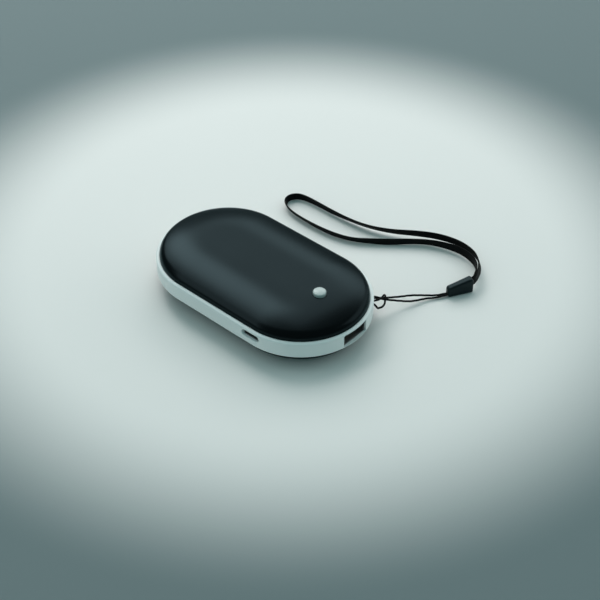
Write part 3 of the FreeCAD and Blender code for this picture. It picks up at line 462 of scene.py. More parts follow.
@dataclass(frozen=True)
class Moulded:
    """Plastic, paint, anodised metal or plain metal: a colour with a grain and an uneven gloss."""

    name: str
    dark: Triple
    light: Triple
    gloss: Pair
    grain: float = 0.004
    grain_pitch: float = GRAIN_PITCH
    broad_pitch: float = BROAD_PITCH
    metal: float = 0.0
    shine: float = 0.5
    shine_tint: Triple = (1.0, 1.0, 1.0)

    def material(self) -> bpy.types.Material:
        """The finish as a shader: colour and roughness follow the broad noise, the grain stands out.

        Returns:
            The material.
        """
        made, wire, shader = new_material(self.name)
        place = wire.node("ShaderNodeTexCoord")
        group = wire.node("ShaderNodeGroup", node_tree=MOULDING)
        fill(group, {"Grain Pitch": self.grain_pitch, "Broad Pitch": self.broad_pitch})
        wire.link(place.outputs["Object"], group.inputs["Place"])
        wire.link(wire.blend(group.outputs["Broad"], self.dark, self.light), shader.inputs["Base Color"])
        wire.link(wire.span(group.outputs["Broad"], *self.gloss), shader.inputs["Roughness"])
        fill(shader, {"Metallic": self.metal, "Specular IOR Level": self.shine,
                      "Specular Tint": colour(self.shine_tint)})
        bump(wire, shader, group.outputs["Grain"], self.grain)
        return made


@dataclass(frozen=True)
class Woven:
    """Woven or braided thread that follows the piece's own length and girth."""

    name: str
    dark: Triple
    light: Triple
    along_turns: float
    across_turns: float
    slant: float
    depth: float
    sheen: float
    shine: float
    gloss: Pair = (0.85, 0.55)
    sheen_gloss: float = 0.4
    thread_share: float = 0.7

    def material(self) -> bpy.types.Material:
        """The finish as a shader: thread crowns are paler and smoother than the gaps between them; the paler
        crowns are painted highlight and the darker gaps painted shade, with random fray mixed in.

        Returns:
            The material.
        """
        made, wire, shader = new_material(self.name)
        place = wire.node("ShaderNodeUVMap", uv_map="lie")
        group = wire.node("ShaderNodeGroup", node_tree=WEAVE)
        fill(group, {"Along Turns": self.along_turns, "Across Turns": self.across_turns,
                     "Slant": self.slant})
        wire.link(place.outputs["UV"], group.inputs["Place"])
        mixed = wire.math("ADD", wire.math("MULTIPLY", group.outputs["Thread"], self.thread_share),
                          wire.math("MULTIPLY", group.outputs["Fray"], 1 - self.thread_share))
        # Base colour: painted highlight on the thread crowns and painted shade in the gaps, mixed with random
        # fray.
        wire.link(wire.blend(mixed, self.dark, self.light), shader.inputs["Base Color"])
        wire.link(wire.span(mixed, *self.gloss), shader.inputs["Roughness"])
        fill(shader, {"Specular IOR Level": self.shine, "Sheen Weight": self.sheen,
                      "Sheen Roughness": self.sheen_gloss})
        bump(wire, shader, mixed, self.depth)
        return made


FINISHES: dict[Slot, Moulded | Woven] = {
    Slot.SHELL: Moulded("black_anodised_shell", (0.0092, 0.0139, 0.0153), (0.0105, 0.0157, 0.0174),
                        (0.23, 0.29), 0.0015, metal=1.0, shine_tint=(0.69, 0.765, 0.785)),
    Slot.BAND: Moulded("moulded_white_band", (0.79, 0.80, 0.79), (0.83, 0.84, 0.83), (0.5, 0.6), 0.003),
    # The button is the band's white plastic painted darker: painted shade.
    Slot.BUTTON: Moulded("white_button_painted_shade", (0.45, 0.49, 0.475), (0.49, 0.53, 0.515), (0.3, 0.4), 0.001),
    Slot.INNER: Moulded("dark_inner_moulding", (0.045, 0.045, 0.05), (0.06, 0.06, 0.065), (0.5, 0.65)),
    Slot.BOARD: Moulded("green_board", (0.012, 0.09, 0.035), (0.02, 0.13, 0.05), (0.25, 0.4), 0.002,
                        grain_pitch=2500.0),
    Slot.STEEL: Moulded("pressed_steel", (0.45, 0.46, 0.47), (0.58, 0.59, 0.6), (0.25, 0.42), 0.001,
                        grain_pitch=3000.0, broad_pitch=250.0, metal=1.0),
    Slot.CONTACT: Moulded("plated_contact", (0.75, 0.52, 0.2), (0.85, 0.62, 0.28), (0.2, 0.32), 0.0005,
                          grain_pitch=3000.0, broad_pitch=300.0, metal=1.0),
    Slot.PORT: Moulded("port_plastic", (0.15, 0.18, 0.19), (0.19, 0.225, 0.235), (0.45, 0.6), 0.003),
    Slot.CHIP: Moulded("component_black", (0.012, 0.012, 0.013), (0.02, 0.02, 0.022), (0.5, 0.65)),
    Slot.CERAMIC: Moulded("ceramic_tan", (0.25, 0.15, 0.08), (0.33, 0.21, 0.11), (0.3, 0.45), 0.002),
    Slot.LAMP: Moulded("clear_lamp", (0.75, 0.72, 0.5), (0.85, 0.82, 0.6), (0.15, 0.25), 0.0005),
    Slot.FOIL: Moulded("pouch_foil", (0.5, 0.51, 0.53), (0.62, 0.63, 0.65), (0.28, 0.5), 0.004,
                       grain_pitch=900.0, broad_pitch=180.0, metal=0.9),
    Slot.FOAM: Moulded("grey_foam", (0.07, 0.07, 0.075), (0.11, 0.11, 0.115), (0.8, 0.95), 0.02,
                       grain_pitch=2200.0, broad_pitch=90.0),
    Slot.FILM: Moulded("amber_film", (0.32, 0.1, 0.012), (0.42, 0.15, 0.02), (0.18, 0.3), 0.002,
                       grain_pitch=1500.0),
    Slot.LEAD: Moulded("red_lead", (0.32, 0.012, 0.012), (0.4, 0.02, 0.02), (0.35, 0.5), 0.002),
    # String and webbing: the light colour is painted highlight on thread crowns, the dark colour painted
    # shade in the gaps between threads.
    Slot.STRING: Woven("braided_string", (0.0012, 0.0016, 0.0018), (0.005, 0.006, 0.0065),
                       along_turns=1.2, across_turns=1.5, slant=0.75, depth=0.03, sheen=0.03, shine=0.1),
    Slot.CLASP: Moulded("satin_black_clasp", (0.0045, 0.006, 0.0065), (0.0065, 0.0085, 0.009), (0.38, 0.48),
                        0.004, grain_pitch=3500.0, shine=0.2, shine_tint=(0.5, 0.9, 1.0)),
    Slot.WEBBING: Woven("woven_webbing", (0.001, 0.0014, 0.0016), (0.004, 0.0052, 0.0056),
                        along_turns=1.6, across_turns=2.2, slant=0.0, depth=0.04, sheen=0.02, shine=0.08),
}


@dataclass
class Wardrobe:
    """Makes each slot's material once and dresses pieces in it."""

    made: dict[Slot, bpy.types.Material] = field(default_factory=dict)

    def material(self, slot: Slot) -> bpy.types.Material:
        """A slot's material, made on its first use.

        Args:
            slot: the slot.

        Returns:
            Its material.
        """
        if slot not in self.made:
            self.made[slot] = FINISHES[slot].material()
        return self.made[slot]

    def dress(self, piece: bpy.types.Object, slot: Slot, body: Body | None, *nodes: str) -> bpy.types.Object:
        """Finish a new piece, let it ride on a body and stand for some solids.

        Args:
            piece: the new piece.
            slot: its material slot.
            body: the body it rides on, or none to leave it unattached.
            nodes: names of the solids that it stands for.

        Returns:
            The piece.
        """
        piece.data.materials.clear()
        piece.data.materials.append(self.material(slot))
        if body is not None:
            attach(piece, body.value)
        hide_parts(*nodes)
        LOG.info("%s: %d faces for %s", piece.name, len(piece.data.polygons), ", ".join(nodes))
        return piece

    def dress_solids(self) -> None:
        """Give every solid the finish of its slot in the record."""
        for part in frame["record"]["subparts"]:
            mesh = frame["nodes"][part["node"]].data
            mesh.materials.clear()
            mesh.materials.append(self.material(Slot(part["material_slot"])))
            LOG.info("%s: solid dressed as %s", part["node"], part["material_slot"])


# The body's form
@dataclass(frozen=True)
class Form:
    """The body's shared sizes: a stadium in plan, a band between two shallow domes."""

    length: float = 100.0
    width: float = 58.8
    band_height: float = 7.4
    dome_rise: float = 6.6
    band_lip: float = 1.5
    band_wall: float = 3.0
    band_edge: float = 1.0
    rebate: float = 0.45
    shell_wall: float = 0.9
    shell_edge: float = 3.5
    shell_rim: float = 0.3
    land_half: float = 8.0
    seam_gap: float = 0.05

    @property
    def end_radius(self) -> float:
        """Radius of the stadium's ends."""
        return self.width / 2

    @property
    def end_x(self) -> float:
        """Distance of an end's centre from the middle."""
        return self.length / 2 - self.end_radius

    @property
    def mid(self) -> float:
        """Height of the middle plane."""
        return self.dome_rise + self.band_height / 2

    @property
    def band_top(self) -> float:
        """Height of the band's upper face."""
        return self.dome_rise + self.band_height

    @property
    def top(self) -> float:
        """Height of the upper shell's land."""
        return self.band_top + self.dome_rise

    @property
    def shell_radius(self) -> float:
        """Radius of a shell's rim at the ends."""
        return self.end_radius - self.band_lip - self.seam_gap

    @property
    def crown(self) -> Pair:
        """The crown's circle, which starts level at the land's edge and runs smoothly into the edge's arc.

        Returns:
            Its radius, and the angle in degrees where it meets the edge's arc.
        """
        across = self.shell_radius - self.shell_edge - self.land_half
        drop = self.shell_rim - self.dome_rise
        radius = (self.shell_edge ** 2 - across ** 2 - drop ** 2) / (2 * (drop + self.shell_edge))
        return radius, math.degrees(math.atan2(drop + radius, across))

    def dome_height(self, distance: Array, inset: float) -> Array:
        """Height of the upper dome, moved inwards, on its land or crown.

        The land is flat, and the crown is a circle that starts level at the land's edge.

        Args:
            distance: distance in plan from the spine.
            inset: how far the surface is moved inwards.

        Returns:
            Heights.
        """
        radius = self.crown[0]
        across = np.maximum(distance - self.land_half, 0)
        return self.top - radius + np.sqrt((radius - inset) ** 2 - across ** 2)

    def round_place(self, along: Array, radius: Array) -> tuple[Array, Array]:
        """A place in plan from the distance round the band's face and the distance from the spine.

        The way round starts where the -Y side meets the +X end, goes round that end, along the +Y
        side, round the other end and back along the -Y side; it may start on that side below zero.

        Args:
            along: distance round the face, measured at the band's outer face.
            radius: distance from the spine.

        Returns:
            x and y.
        """
        turn = math.pi * self.end_radius
        run = 2 * self.end_x
        angle = along / self.end_radius - math.pi / 2
        far_angle = (along - run) / self.end_radius - math.pi / 2
        sides = [along < 0, along <= turn, along <= turn + run, along <= 2 * turn + run]
        x_ways = [self.end_x + along, self.end_x + radius * np.cos(angle),
                  self.end_x - (along - turn), -self.end_x + radius * np.cos(far_angle)]
        y_ways = [-radius, radius * np.sin(angle), radius + 0 * along, radius * np.sin(far_angle)]
        x = np.select(sides, x_ways, -self.end_x + along - 2 * turn - run)
        return x, np.select(sides, y_ways, -radius)


FORM = Form()


def spaced(breaks: Sequence[float], step: float) -> Array:
    """Places that hit every break and lie about a step apart between breaks."""
    runs = [np.linspace(a, b, max(2, math.ceil((b - a) / step) + 1))[:-1] for a, b in zip(breaks, breaks[1:])]
    return np.concatenate(runs + [np.array(breaks[-1:])])


def window_rim(rows: Array, columns: Array) -> tuple[Array, Array]:
    """The outline of a block of grid places, once round.

    Args:
        rows: the block's row values.
        columns: the block's column values.

    Returns:
        The row value and the column value of each place on the outline.
    """
    side = np.concatenate((np.full(len(columns) - 1, rows[0]), rows[:-1],
                           np.full(len(columns) - 1, rows[-1]), rows[:0:-1]))
    across = np.concatenate((columns[:-1], np.full(len(rows) - 1, columns[-1]),
                             columns[:0:-1], np.full(len(rows) - 1, columns[0])))
    return side, across


@dataclass(frozen=True)
class Shells:
    """The two domed shells, pressed from sheet, the upper one with the button's hole."""

    form: Form = FORM
    hole_x: float = 30.5
    hole_radius: float = 2.9
    hole_round: float = 0.18
    hole_rings: int = 7
    round_rings: int = 6
    window_angle: float = 24.0
    window_near: float = 5.5
    window_middle: float = 12.3
    window_far: float = 14.5
    ahead_cosine: float = 0.5
    land_place: float = 2.8
    crown_step: float = 2.2
    crown_places: tuple[float, ...] = (16.5, 18.5, 20.5, 22.5, 24.0, 25.0)
    edge_steps: int = 16
    rim_steps: int = 4
    turn_steps: int = 90
    run_steps: int = 24

    def profile(self, inset: float) -> Array:
        """Half of the dome's section from the spine to the rim: land, crown arc, edge arc and rim.

        Args:
            inset: how far the surface is moved inwards.

        Returns:
            Distance from the spine and height, shaped (count, 2).
        """
        form = self.form
        distance = np.array([0.0, self.land_place, self.window_near, form.land_half,
                             form.land_half + self.crown_step, self.window_middle, self.window_far,
                             *self.crown_places])
        crown = np.stack((distance, form.dome_height(distance, inset)), -1)
        edge_centre = (form.shell_radius - form.shell_edge, form.band_top + form.shell_rim)
        edge = arc(edge_centre, form.shell_edge - inset, form.crown[1], 0, self.edge_steps)
        rim = straight(edge[-1], (edge[-1][0], form.band_top - form.rebate), self.rim_steps)[1:]
        return np.concatenate((crown, edge, rim))

    def near_turn(self) -> Array:
        """Headings round the +X end in degrees, with a break at each side of the hole's window."""
        bend = self.window_angle
        return spaced((-90.0, -bend, bend, 90.0), 180.0 / self.turn_steps)

    def stations(self) -> tuple[Array, Array, Array]:
        """The way round the stadium: round the +X end, along a side, round the far end and back.

        Returns:
            Each station's centre on the spine, and the cosine and sine of its heading.
        """
        end = self.form.end_x
        near = self.near_turn()
        far = np.linspace(90, 270, self.turn_steps + 1)
        run = np.linspace(end, -end, self.run_steps + 1)[1:-1]
        centre = np.concatenate((np.full(len(near), end), run, np.full(len(far), -end), run[::-1]))
        sides = [np.full(len(run), turn) for turn in (90.0, 270.0)]
        heading = np.radians(np.concatenate((near, sides[0], far, sides[1])))
        return centre, np.cos(heading), np.sin(heading)

    def skin(self, inset: float, with_hole: bool) -> tuple[Array, Array | None]:
        """One face of the upper dome, as a grid of points, and which of its faces stay.

        Args:
            inset: how far the face is moved inwards.
            with_hole: whether the block of faces round the button's hole is left out.

        Returns:
            Points shaped (profile, stations, 3), and the faces that stay.
        """
        profile = self.profile(inset)
        centre, cosine, sine = self.stations()
        distance = profile[:, :1]
        height = np.broadcast_to(profile[:, 1:], (len(profile), len(centre)))
        points = np.stack((centre + distance * cosine, distance * sine, height), -1)
        if not with_hole:
            return points, None
        middle = (distance[:-1] + distance[1:]) / 2
        following = np.roll(sine, -1)
        ahead = (cosine > self.ahead_cosine) & (np.roll(cosine, -1) > self.ahead_cosine) & (centre > 0)
        limit = math.sin(math.radians(self.window_angle)) + ROUNDING
        beside = ahead & (np.abs(sine) < limit) & (np.abs(following) < limit)
        inside = (middle > self.window_near) & (middle < self.window_far) & beside[None, :]
        return points, ~inside

    def hole(self) -> Array:
        """The part round the button's hole: down from the outer face, through the hole, along the inner face.

        Rings go evenly from the block's outline to the hole's circle, turn over a small round, drop
        through the wall and go back out to the outline on the inner face.

        Returns:
            Points shaped (rings, outline points, 3).
        """
        form = self.form
        rows = self.profile(0)[:, 0]
        rows = rows[(rows >= self.window_near - ROUNDING) & (rows <= self.window_far + ROUNDING)]
        columns = np.radians(self.near_turn())
        columns = columns[np.abs(columns) < math.radians(self.window_angle) + ROUNDING]
        distance, angle = window_rim(rows, columns)
        outline = np.stack((form.end_x + distance * np.cos(angle), distance * np.sin(angle)), -1)
        centre = np.array((self.hole_x, 0.0))
        away = outline - centre
        reach = np.linalg.norm(away, axis=-1, keepdims=True)
        share = np.linspace(0, 1, self.hole_rings)[:, None, None]
        lean = np.radians(np.linspace(0, 90, self.round_rings))[1:]
        start = self.hole_radius + self.hole_round
        rounding = (self.hole_radius + self.hole_round * (1 - np.sin(lean)))[:, None, None]
        radii = np.concatenate((reach + (start - reach) * share,
                                np.broadcast_to(rounding, (len(lean), len(reach), 1))))
        level = np.zeros(self.hole_rings)
        drop = np.concatenate((level, self.hole_round * (1 - np.cos(lean))))[:, None]
        outer = self.ringed(centre, away / reach, radii, 0.0, drop)
        inner_radii = self.hole_radius + (reach - self.hole_radius) * share
        inner = self.ringed(centre, away / reach, inner_radii, form.shell_wall, level[:, None])
        return np.concatenate((outer, inner))

    def ringed(self, centre: Array, heading: Array, radii: Array, inset: float, drop: Array) -> Array:
        """Rings round a centre laid on the dome and lowered.

        Args:
            centre: the rings' centre in plan.
            heading: unit directions from the centre, shaped (points, 2).
            radii: distance of each ring's points, shaped (rings, points, 1).
            inset: how far the dome is moved inwards.
            drop: how far each ring is lowered, shaped (rings, 1).

        Returns:
            Points shaped (rings, points, 3).
        """
        plan = centre + heading * radii
        spine = np.hypot(np.maximum(np.abs(plan[..., 0]) - self.form.end_x, 0), plan[..., 1])
        height = self.form.dome_height(spine, inset) - drop
        return np.concatenate((plan, height[..., None]), -1)

    def build(self, wardrobe: Wardrobe) -> None:
        """Make both shells and dress them; the lower one mirrors the upper one, without the hole.

        Args:
            wardrobe: gives the finish.
        """
        for name, upper in (("top_shell", True), ("bottom_shell", False)):
            surface = Surface()
            outer, keep = self.skin(0.0, upper)
            inner, _ = self.skin(self.form.shell_wall, upper)
            patches = [(outer, keep), (inner, keep), (np.stack((outer[-1], inner[-1])), None)]
            if upper:
                patches.append((self.hole(), None))
            for points, chosen in patches:
                placed = points if upper else points * (1, 1, -1) + (0, 0, 2 * self.form.mid)
                surface.add(placed, round_columns=True, keep=chosen)
            wardrobe.dress(surface.build(name + "_skin"), Slot.SHELL, Body.CASE, name)


class Way(Enum):
    """Which way an opening in the band runs inwards."""

    TIP = "against +X"
    SIDE = "towards +Y"
    LUG = "towards the end's centre"


@dataclass(frozen=True)
class Opening:
    """An opening in the band: its place round the face, its outline and its way in."""

    way: Way
    centre: float
    half_window: float
    across: float
    height: float
    half_width: float
    half_height: float
    corner: float
    round: float

    def outline(self, grow: float) -> Array:
        """The outline, grown evenly, as distance across and height."""
        base = rounded_rectangle(self.half_width + grow, self.half_height + grow, self.corner + grow)
        return base + (self.across, self.height)


@dataclass(frozen=True)
class Band:
    """The white band between the shells, with both ports' openings and the strap's lug."""

    form: Form = FORM
    lug_angle: float = 48.0
    lug_near: float = 2.7
    lug_far: float = 3.8
    lug_height: float = 5.7
    lug_depth: float = 4.0
    lug_wall: float = 1.2
    bar_radius: float = 0.8
    bar_inset: float = 1.6
    bar_steps: int = 24
    lip_round: float = 0.15
    step: float = 0.8
    edge_rows: int = 11
    upright_rows: int = 10
    top_steps: int = 3
    lip_steps: int = 5
    ledge_steps: int = 4
    wall_steps: int = 10
    mouth_rings: int = 7
    round_rings: int = 6
    floor_rings: int = 4

    @property
    def quarter(self) -> float:
        """Distance round the face from where the way round starts to the tip."""
        return math.pi / 2 * self.form.end_radius

    @property
    def upright(self) -> float:
        """Half of the height of the face's upright part."""
        return self.form.band_height / 2 - self.form.band_edge

    @property
    def wall_radius(self) -> float:
        """Radius of the inner wall at the ends."""
        return self.form.end_radius - self.form.band_wall

    @property
    def lug_turn(self) -> float:
        """The lug's heading in radians."""
        return math.radians(self.lug_angle)

    def openings(self) -> tuple[Opening, ...]:
        """The openings for the small port, the large port and the lug.

        Returns:
            The openings, in order round the face from the -Y side.
        """
        form = self.form
        lug_middle = (self.lug_far - self.lug_near) / 2
        lug_half = (self.lug_far + self.lug_near) / 2
        lug_place = self.quarter + self.lug_turn * form.end_radius + lug_middle
        return (
            Opening(Way.SIDE, centre=-0.6, half_window=6.2, across=20.0, height=11.3,
                    half_width=4.45, half_height=1.55, corner=1.53, round=0.25),
            Opening(Way.TIP, centre=self.quarter, half_window=8.6, across=0.0, height=form.mid,
                    half_width=6.67, half_height=2.92, corner=0.62, round=0.15),
            Opening(Way.LUG, centre=lug_place, half_window=5.6, across=lug_middle, height=form.mid,
                    half_width=lug_half, half_height=self.lug_height / 2, corner=0.4, round=0.2),
        )

    def face(self, lift: Array) -> tuple[Array, Array]:
        """Radius and height of the band's face from the way up it, counted from the middle plane.

        The face is upright, and turns over a quarter circle at each edge.

        Args:
            lift: distance along the section from the middle plane.

        Returns:
            Distance from the spine, and height.
        """
        form = self.form
        bend = np.maximum(np.abs(lift) - self.upright, 0) / form.band_edge
        rise = np.minimum(np.abs(lift), self.upright) + form.band_edge * np.sin(bend)
        return form.end_radius - form.band_edge * (1 - np.cos(bend)), form.mid + np.sign(lift) * rise

    def lift(self, height: Array) -> Array:
        """The way up the face to a height: the height's share of the upright part and of the edge's arc.

        Args:
            height: heights of places on the face.

        Returns:
            Distances along the section from the middle plane.
        """
        form = self.form
        rise = height - form.mid
        over = np.clip((np.abs(rise) - self.upright) / form.band_edge, 0, 1)
        return np.sign(rise) * (np.minimum(np.abs(rise), self.upright) + form.band_edge * np.arcsin(over))

    def face_lifts(self) -> Array:
        """Even ways up the face, closer together on its round edges.

        Returns:
            Distances along the section from the middle plane, from below.
        """
        reach = self.upright + self.form.band_edge * math.pi / 2
        bend = np.linspace(self.upright, reach, self.edge_rows)
        flat = np.linspace(-self.upright, self.upright, self.upright_rows)[1:-1]
        return np.concatenate((-bend[::-1], flat, bend))

    def columns(self) -> Array:
        """Places once round the face, with a break at each side of each opening and at each turn.

        Returns:
            Distances round the face.
        """
        turn = math.pi * self.form.end_radius
        run = 2 * self.form.end_x
        edges = [way.centre + side * way.half_window for way in self.openings() for side in (-1, 1)]
        last = 2 * turn + 2 * run + edges[0]
        return spaced((*edges, turn, turn + run, 2 * turn + run, last), self.step)[:-1]

    def section(self) -> Array:
        """The band's section without its outer face: top, lip, ledge and inner wall, and the same below.

        Returns:
            Distance from the spine and height, from the face's upper edge round the inside to its lower one.
        """
        form = self.form
        lip = form.end_radius - form.band_lip
        ledge = form.band_top - form.rebate
        turn = self.lip_round
        face_edge = (form.end_radius - form.band_edge, form.band_top)
        upper = np.concatenate((
            straight(face_edge, (lip + turn, form.band_top), self.top_steps)[:-1],
            arc((lip + turn, form.band_top - turn), turn, 90, 180, self.lip_steps),
            straight((lip, ledge), (self.wall_radius, ledge), self.ledge_steps)))
        lower = upper[::-1] * (1, -1) + (0, 2 * form.mid)
        wall = straight(upper[-1], lower[0], self.wall_steps)[1:-1]
        return np.concatenate((upper, wall, lower))

    def entered(self, opening: Opening, outline: Array, radius: float | None) -> Array:
        """Where an outline's runs meet the band's face or an inner wall.

        Args:
            opening: the opening.
            outline: distances across and heights.
            radius: the wall's distance from the spine, or none for the face.

        Returns:
            Points shaped as the outline, with x, y and z.
        """
        across, height = outline[..., 0], outline[..., 1]
        reach = self.face(self.lift(height))[0] if radius is None else radius + 0 * height
        if opening.way is Way.TIP:
            return np.stack((self.form.end_x + np.sqrt(reach ** 2 - across ** 2), across, height), -1)
        if opening.way is Way.SIDE:
            past = np.maximum(across - self.form.end_x, 0)
            return np.stack((across, -np.sqrt(reach ** 2 - past ** 2), height), -1)
        return self.from_lug(np.sqrt(reach ** 2 - across ** 2), across, height)

    def from_lug(self, outward: Array, across: Array, height: Array) -> Array:
        """Places from the end's centre along the lug's heading and to its left.

        Args:
            outward: distances along the heading.
            across: distances to its left.
            height: heights.

        Returns:
            Points with x, y and z.
        """
        cosine, sine = math.cos(self.lug_turn), math.sin(self.lug_turn)
        x = self.form.end_x + outward * cosine - across * sine
        y = outward * sine + across * cosine
        return np.stack(np.broadcast_arrays(x, y, height), -1)

    def inwards(self, opening: Opening) -> Array:
        """The unit direction in which an opening runs into the band."""
        ways = {Way.TIP: (-1.0, 0.0, 0.0), Way.SIDE: (0.0, 1.0, 0.0),
                Way.LUG: (-math.cos(self.lug_turn), -math.sin(self.lug_turn), 0.0)}
        return np.array(ways[opening.way])

    def laid(self, along: Array, lift: Array) -> Array:
        """Points on the band's face from the way round it and the way up it."""
        radius, height = self.face(lift)
        return np.stack((*self.form.round_place(along, radius), height), -1)

    def rim_match(self, rim: Array, outline: Array) -> Array:
        """Places on an outline at the angles, about its middle, of a rim's places.

        Args:
            rim: the outer rim's flat places, shaped (count, 2).
            outline: the opening's flat places, shaped (points, 2).

        Returns:
            Places on the outline, shaped (count, 2).
        """
        middle = outline.mean(0)
        rim_angle = np.arctan2(*(rim - middle).T[::-1])
        own_angle = np.unwrap(np.arctan2(*(outline - middle).T[::-1]))
        order = np.argsort(own_angle % (2 * math.pi))
        ring = own_angle[order] % (2 * math.pi)
        places = [np.interp(rim_angle, ring, outline[order, axis], period=2 * math.pi) for axis in (0, 1)]
        return np.stack(places, -1)

    def mouth(self, opening: Opening, columns: Array, inner_heights: Array) -> list[Array]:
        """The patches of one opening: face to rim, over its small round, down its walls, and its far end.

        Args:
            opening: the opening.
            columns: the window's distances round the face.
            inner_heights: heights of the inner wall's points.

        Returns:
            Point grids, closed round the opening.
        """
        side, across = window_rim(self.face_lifts(), columns)
        flat_rim = self.flat(opening, self.laid(across, side))
        share = np.linspace(0, 1, self.mouth_rings)[:, None, None]
        grown = self.rim_match(flat_rim, opening.outline(opening.round))
        start = np.stack((self.along_of(opening, grown), self.lift(grown[:, 1])), -1)
        rim = np.stack((across, side), -1)
        between = rim + (start - rim) * share
        rings = [self.laid(between[..., 0], between[..., 1])]
        for lean in np.radians(np.linspace(0, 90, self.round_rings))[1:]:
            place = self.rim_match(flat_rim, opening.outline(opening.round * (1 - math.sin(lean))))
            depth = opening.round * (1 - math.cos(lean))
            rings.append((self.entered(opening, place, None) + self.inwards(opening) * depth)[None])
        place = self.rim_match(flat_rim, opening.outline(0.0))
        if opening.way is Way.LUG:
            outward = self.form.end_radius - self.lug_depth + 0 * place[:, 0]
            floor = self.from_lug(outward, place[:, 0], place[:, 1])
            centre = floor.mean(0)
            rings.append(centre + (floor - centre) * np.linspace(1, 0, self.floor_rings)[:, None, None])
            return [np.concatenate(rings)]
        wall = self.wall_radius
        rings.append(self.entered(opening, place, wall)[None])
        inner_side, inner_across = window_rim(inner_heights, columns)
        inner_plan = self.form.round_place(inner_across, wall + 0 * inner_across)
        inner_window = np.stack((*inner_plan, inner_side), -1)
        inner_place = self.rim_match(self.flat(opening, inner_window), opening.outline(0.0))
        back = inner_window + (self.entered(opening, inner_place, wall) - inner_window) * share
        return [np.concatenate(rings), back]

    def flat(self, opening: Opening, points: Array) -> Array:
        """Points as they are seen along an opening's way in.

        Args:
            opening: the opening.
            points: points with x, y and z.

        Returns:
            Distance across the opening, and height.
        """
        if opening.way is Way.TIP:
            return points[..., 1:]
        if opening.way is Way.SIDE:
            return points[..., (0, 2)]
        outward = points[..., 0] - self.form.end_x
        across = -outward * math.sin(self.lug_turn) + points[..., 1] * math.cos(self.lug_turn)
        return np.stack((across, points[..., 2]), -1)

    def along_of(self, opening: Opening, flat: Array) -> Array:
        """The way round the face at which an opening's flat places meet it, from the angle's sine at an end.

        Args:
            opening: the opening.
            flat: distances across it and heights, shaped (count, 2).

        Returns:
            Distances round the face.
        """
        end_radius = self.form.end_radius
        radius = self.face(self.lift(flat[:, 1]))[0]
        if opening.way is Way.TIP:
            return self.quarter + end_radius * np.arcsin(flat[:, 0] / radius)
        if opening.way is Way.SIDE:
            past = flat[:, 0] - self.form.end_x
            return np.where(past < 0, past, end_radius * np.arcsin(np.clip(past / radius, 0, 1)))
        return self.quarter + end_radius * (self.lug_turn + np.arcsin(flat[:, 0] / radius))

    def build(self, wardrobe: Wardrobe) -> None:
        """Make the band and dress it: its face, its inside, the openings' mouths and the lug's bar.

        Args:
            wardrobe: gives the finish.
        """
        form = self.form
        surface = Surface()
        lifts = self.face_lifts()
        columns = self.columns()
        section = self.section()
        face = self.laid(columns[None, :] + 0 * lifts[:, None], lifts[:, None] + 0 * columns[None, :])
        ways = self.openings()
        lug = ways[-1]
        thick = np.abs(columns - lug.centre) < lug.half_window + ROUNDING
        deep = form.end_radius - self.lug_depth - self.lug_wall
        on_wall = np.isclose(section[:, 0], self.wall_radius)
        radius = np.where(on_wall[:, None] & thick[None, :], deep, section[:, :1] + 0 * columns[None, :])
        height = section[:, 1:] + 0 * columns[None, :]
        inside = np.stack((*form.round_place(columns[None, :] + 0 * radius, radius), height), -1)
        middle = columns + np.diff(np.append(columns, columns[-1] + self.step)) / 2
        blocks = [np.abs(middle - way.centre) < way.half_window for way in ways]
        keep = np.broadcast_to(~np.logical_or.reduce(blocks), (len(lifts) - 1, len(columns)))
        surface.add(face, round_columns=True, keep=keep)
        rows = np.flatnonzero(on_wall)
        between = np.zeros(len(section) - 1, bool)
        between[rows[0]:rows[-1]] = True
        through = np.logical_or.reduce([block for block, way in zip(blocks, ways) if way.way is not Way.LUG])
        surface.add(inside, round_columns=True, keep=~(between[:, None] & through[None, :]))
        for way in ways:
            chosen = columns[np.abs(columns - way.centre) < way.half_window + ROUNDING]
            for patch in self.mouth(way, chosen, section[on_wall, 1]):
                surface.add(patch, round_columns=True)
        bar = form.end_radius - self.bar_inset
        bar_x, bar_y = form.end_x + bar * math.cos(self.lug_turn), bar * math.sin(self.lug_turn)
        low = form.mid - self.lug_height / 2
        high = low + self.lug_height
        rod = np.array([(0, low), (self.bar_radius, low), (self.bar_radius, high), (0, high)])
        surface.add(spun(rod, bar_x, bar_y, self.bar_steps), round_columns=True)
        wardrobe.dress(surface.build("white_band"), Slot.BAND, Body.CASE, "mid_frame")


@dataclass(frozen=True)
class PressButton:
    """The domed push button with its flange and stem."""

    x: float = 30.5
    radius: float = 2.7
    proud: float = 1.4
    edge: float = 0.6
    rise: float = 0.95
    flange_radius: float = 4.1
    flange_low: float = 18.351
    flange_high: float = 19.151
    stem_radius: float = 1.5
    stem_foot: float = 15.0
    arc_steps: int = 12
    steps: int = 72

    def profile(self) -> Array:
        """Half section from the crown's middle to the stem's foot: crown, edge, side, flange and stem.

        The crown's radius follows from its rise, as the arc that meets the edge's arc smoothly.

        Returns:
            Radius and height, shaped (count, 2).
        """
        across = self.radius - self.edge
        crown = (self.edge ** 2 - across ** 2 - self.rise ** 2) / (2 * (self.edge - self.rise))
        join = math.degrees(math.atan2(crown - self.rise, across))
        shoulder = float(FORM.dome_height(np.array(self.x - FORM.end_x), 0)) + self.proud - self.rise
        flat = ((self.radius, self.flange_high), (self.flange_radius, self.flange_high),
                (self.flange_radius, self.flange_low), (self.stem_radius, self.flange_low),
                (self.stem_radius, self.stem_foot), (0.0, self.stem_foot))
        crown_arc = arc((0, shoulder + self.rise - crown), crown, 90, join, self.arc_steps)
        edge_arc = arc((across, shoulder), self.edge, join, 0, self.arc_steps)
        return np.concatenate((crown_arc, edge_arc[1:], np.array(flat)))

    def build(self, wardrobe: Wardrobe) -> None:
        """Make the button and dress it.

        Args:
            wardrobe: gives the finish.
        """
        surface = Surface()
        surface.add(spun(self.profile(), self.x, 0.0, self.steps), round_columns=True)
        wardrobe.dress(surface.build("domed_button"), Slot.BUTTON, Body.BUTTON, "button")


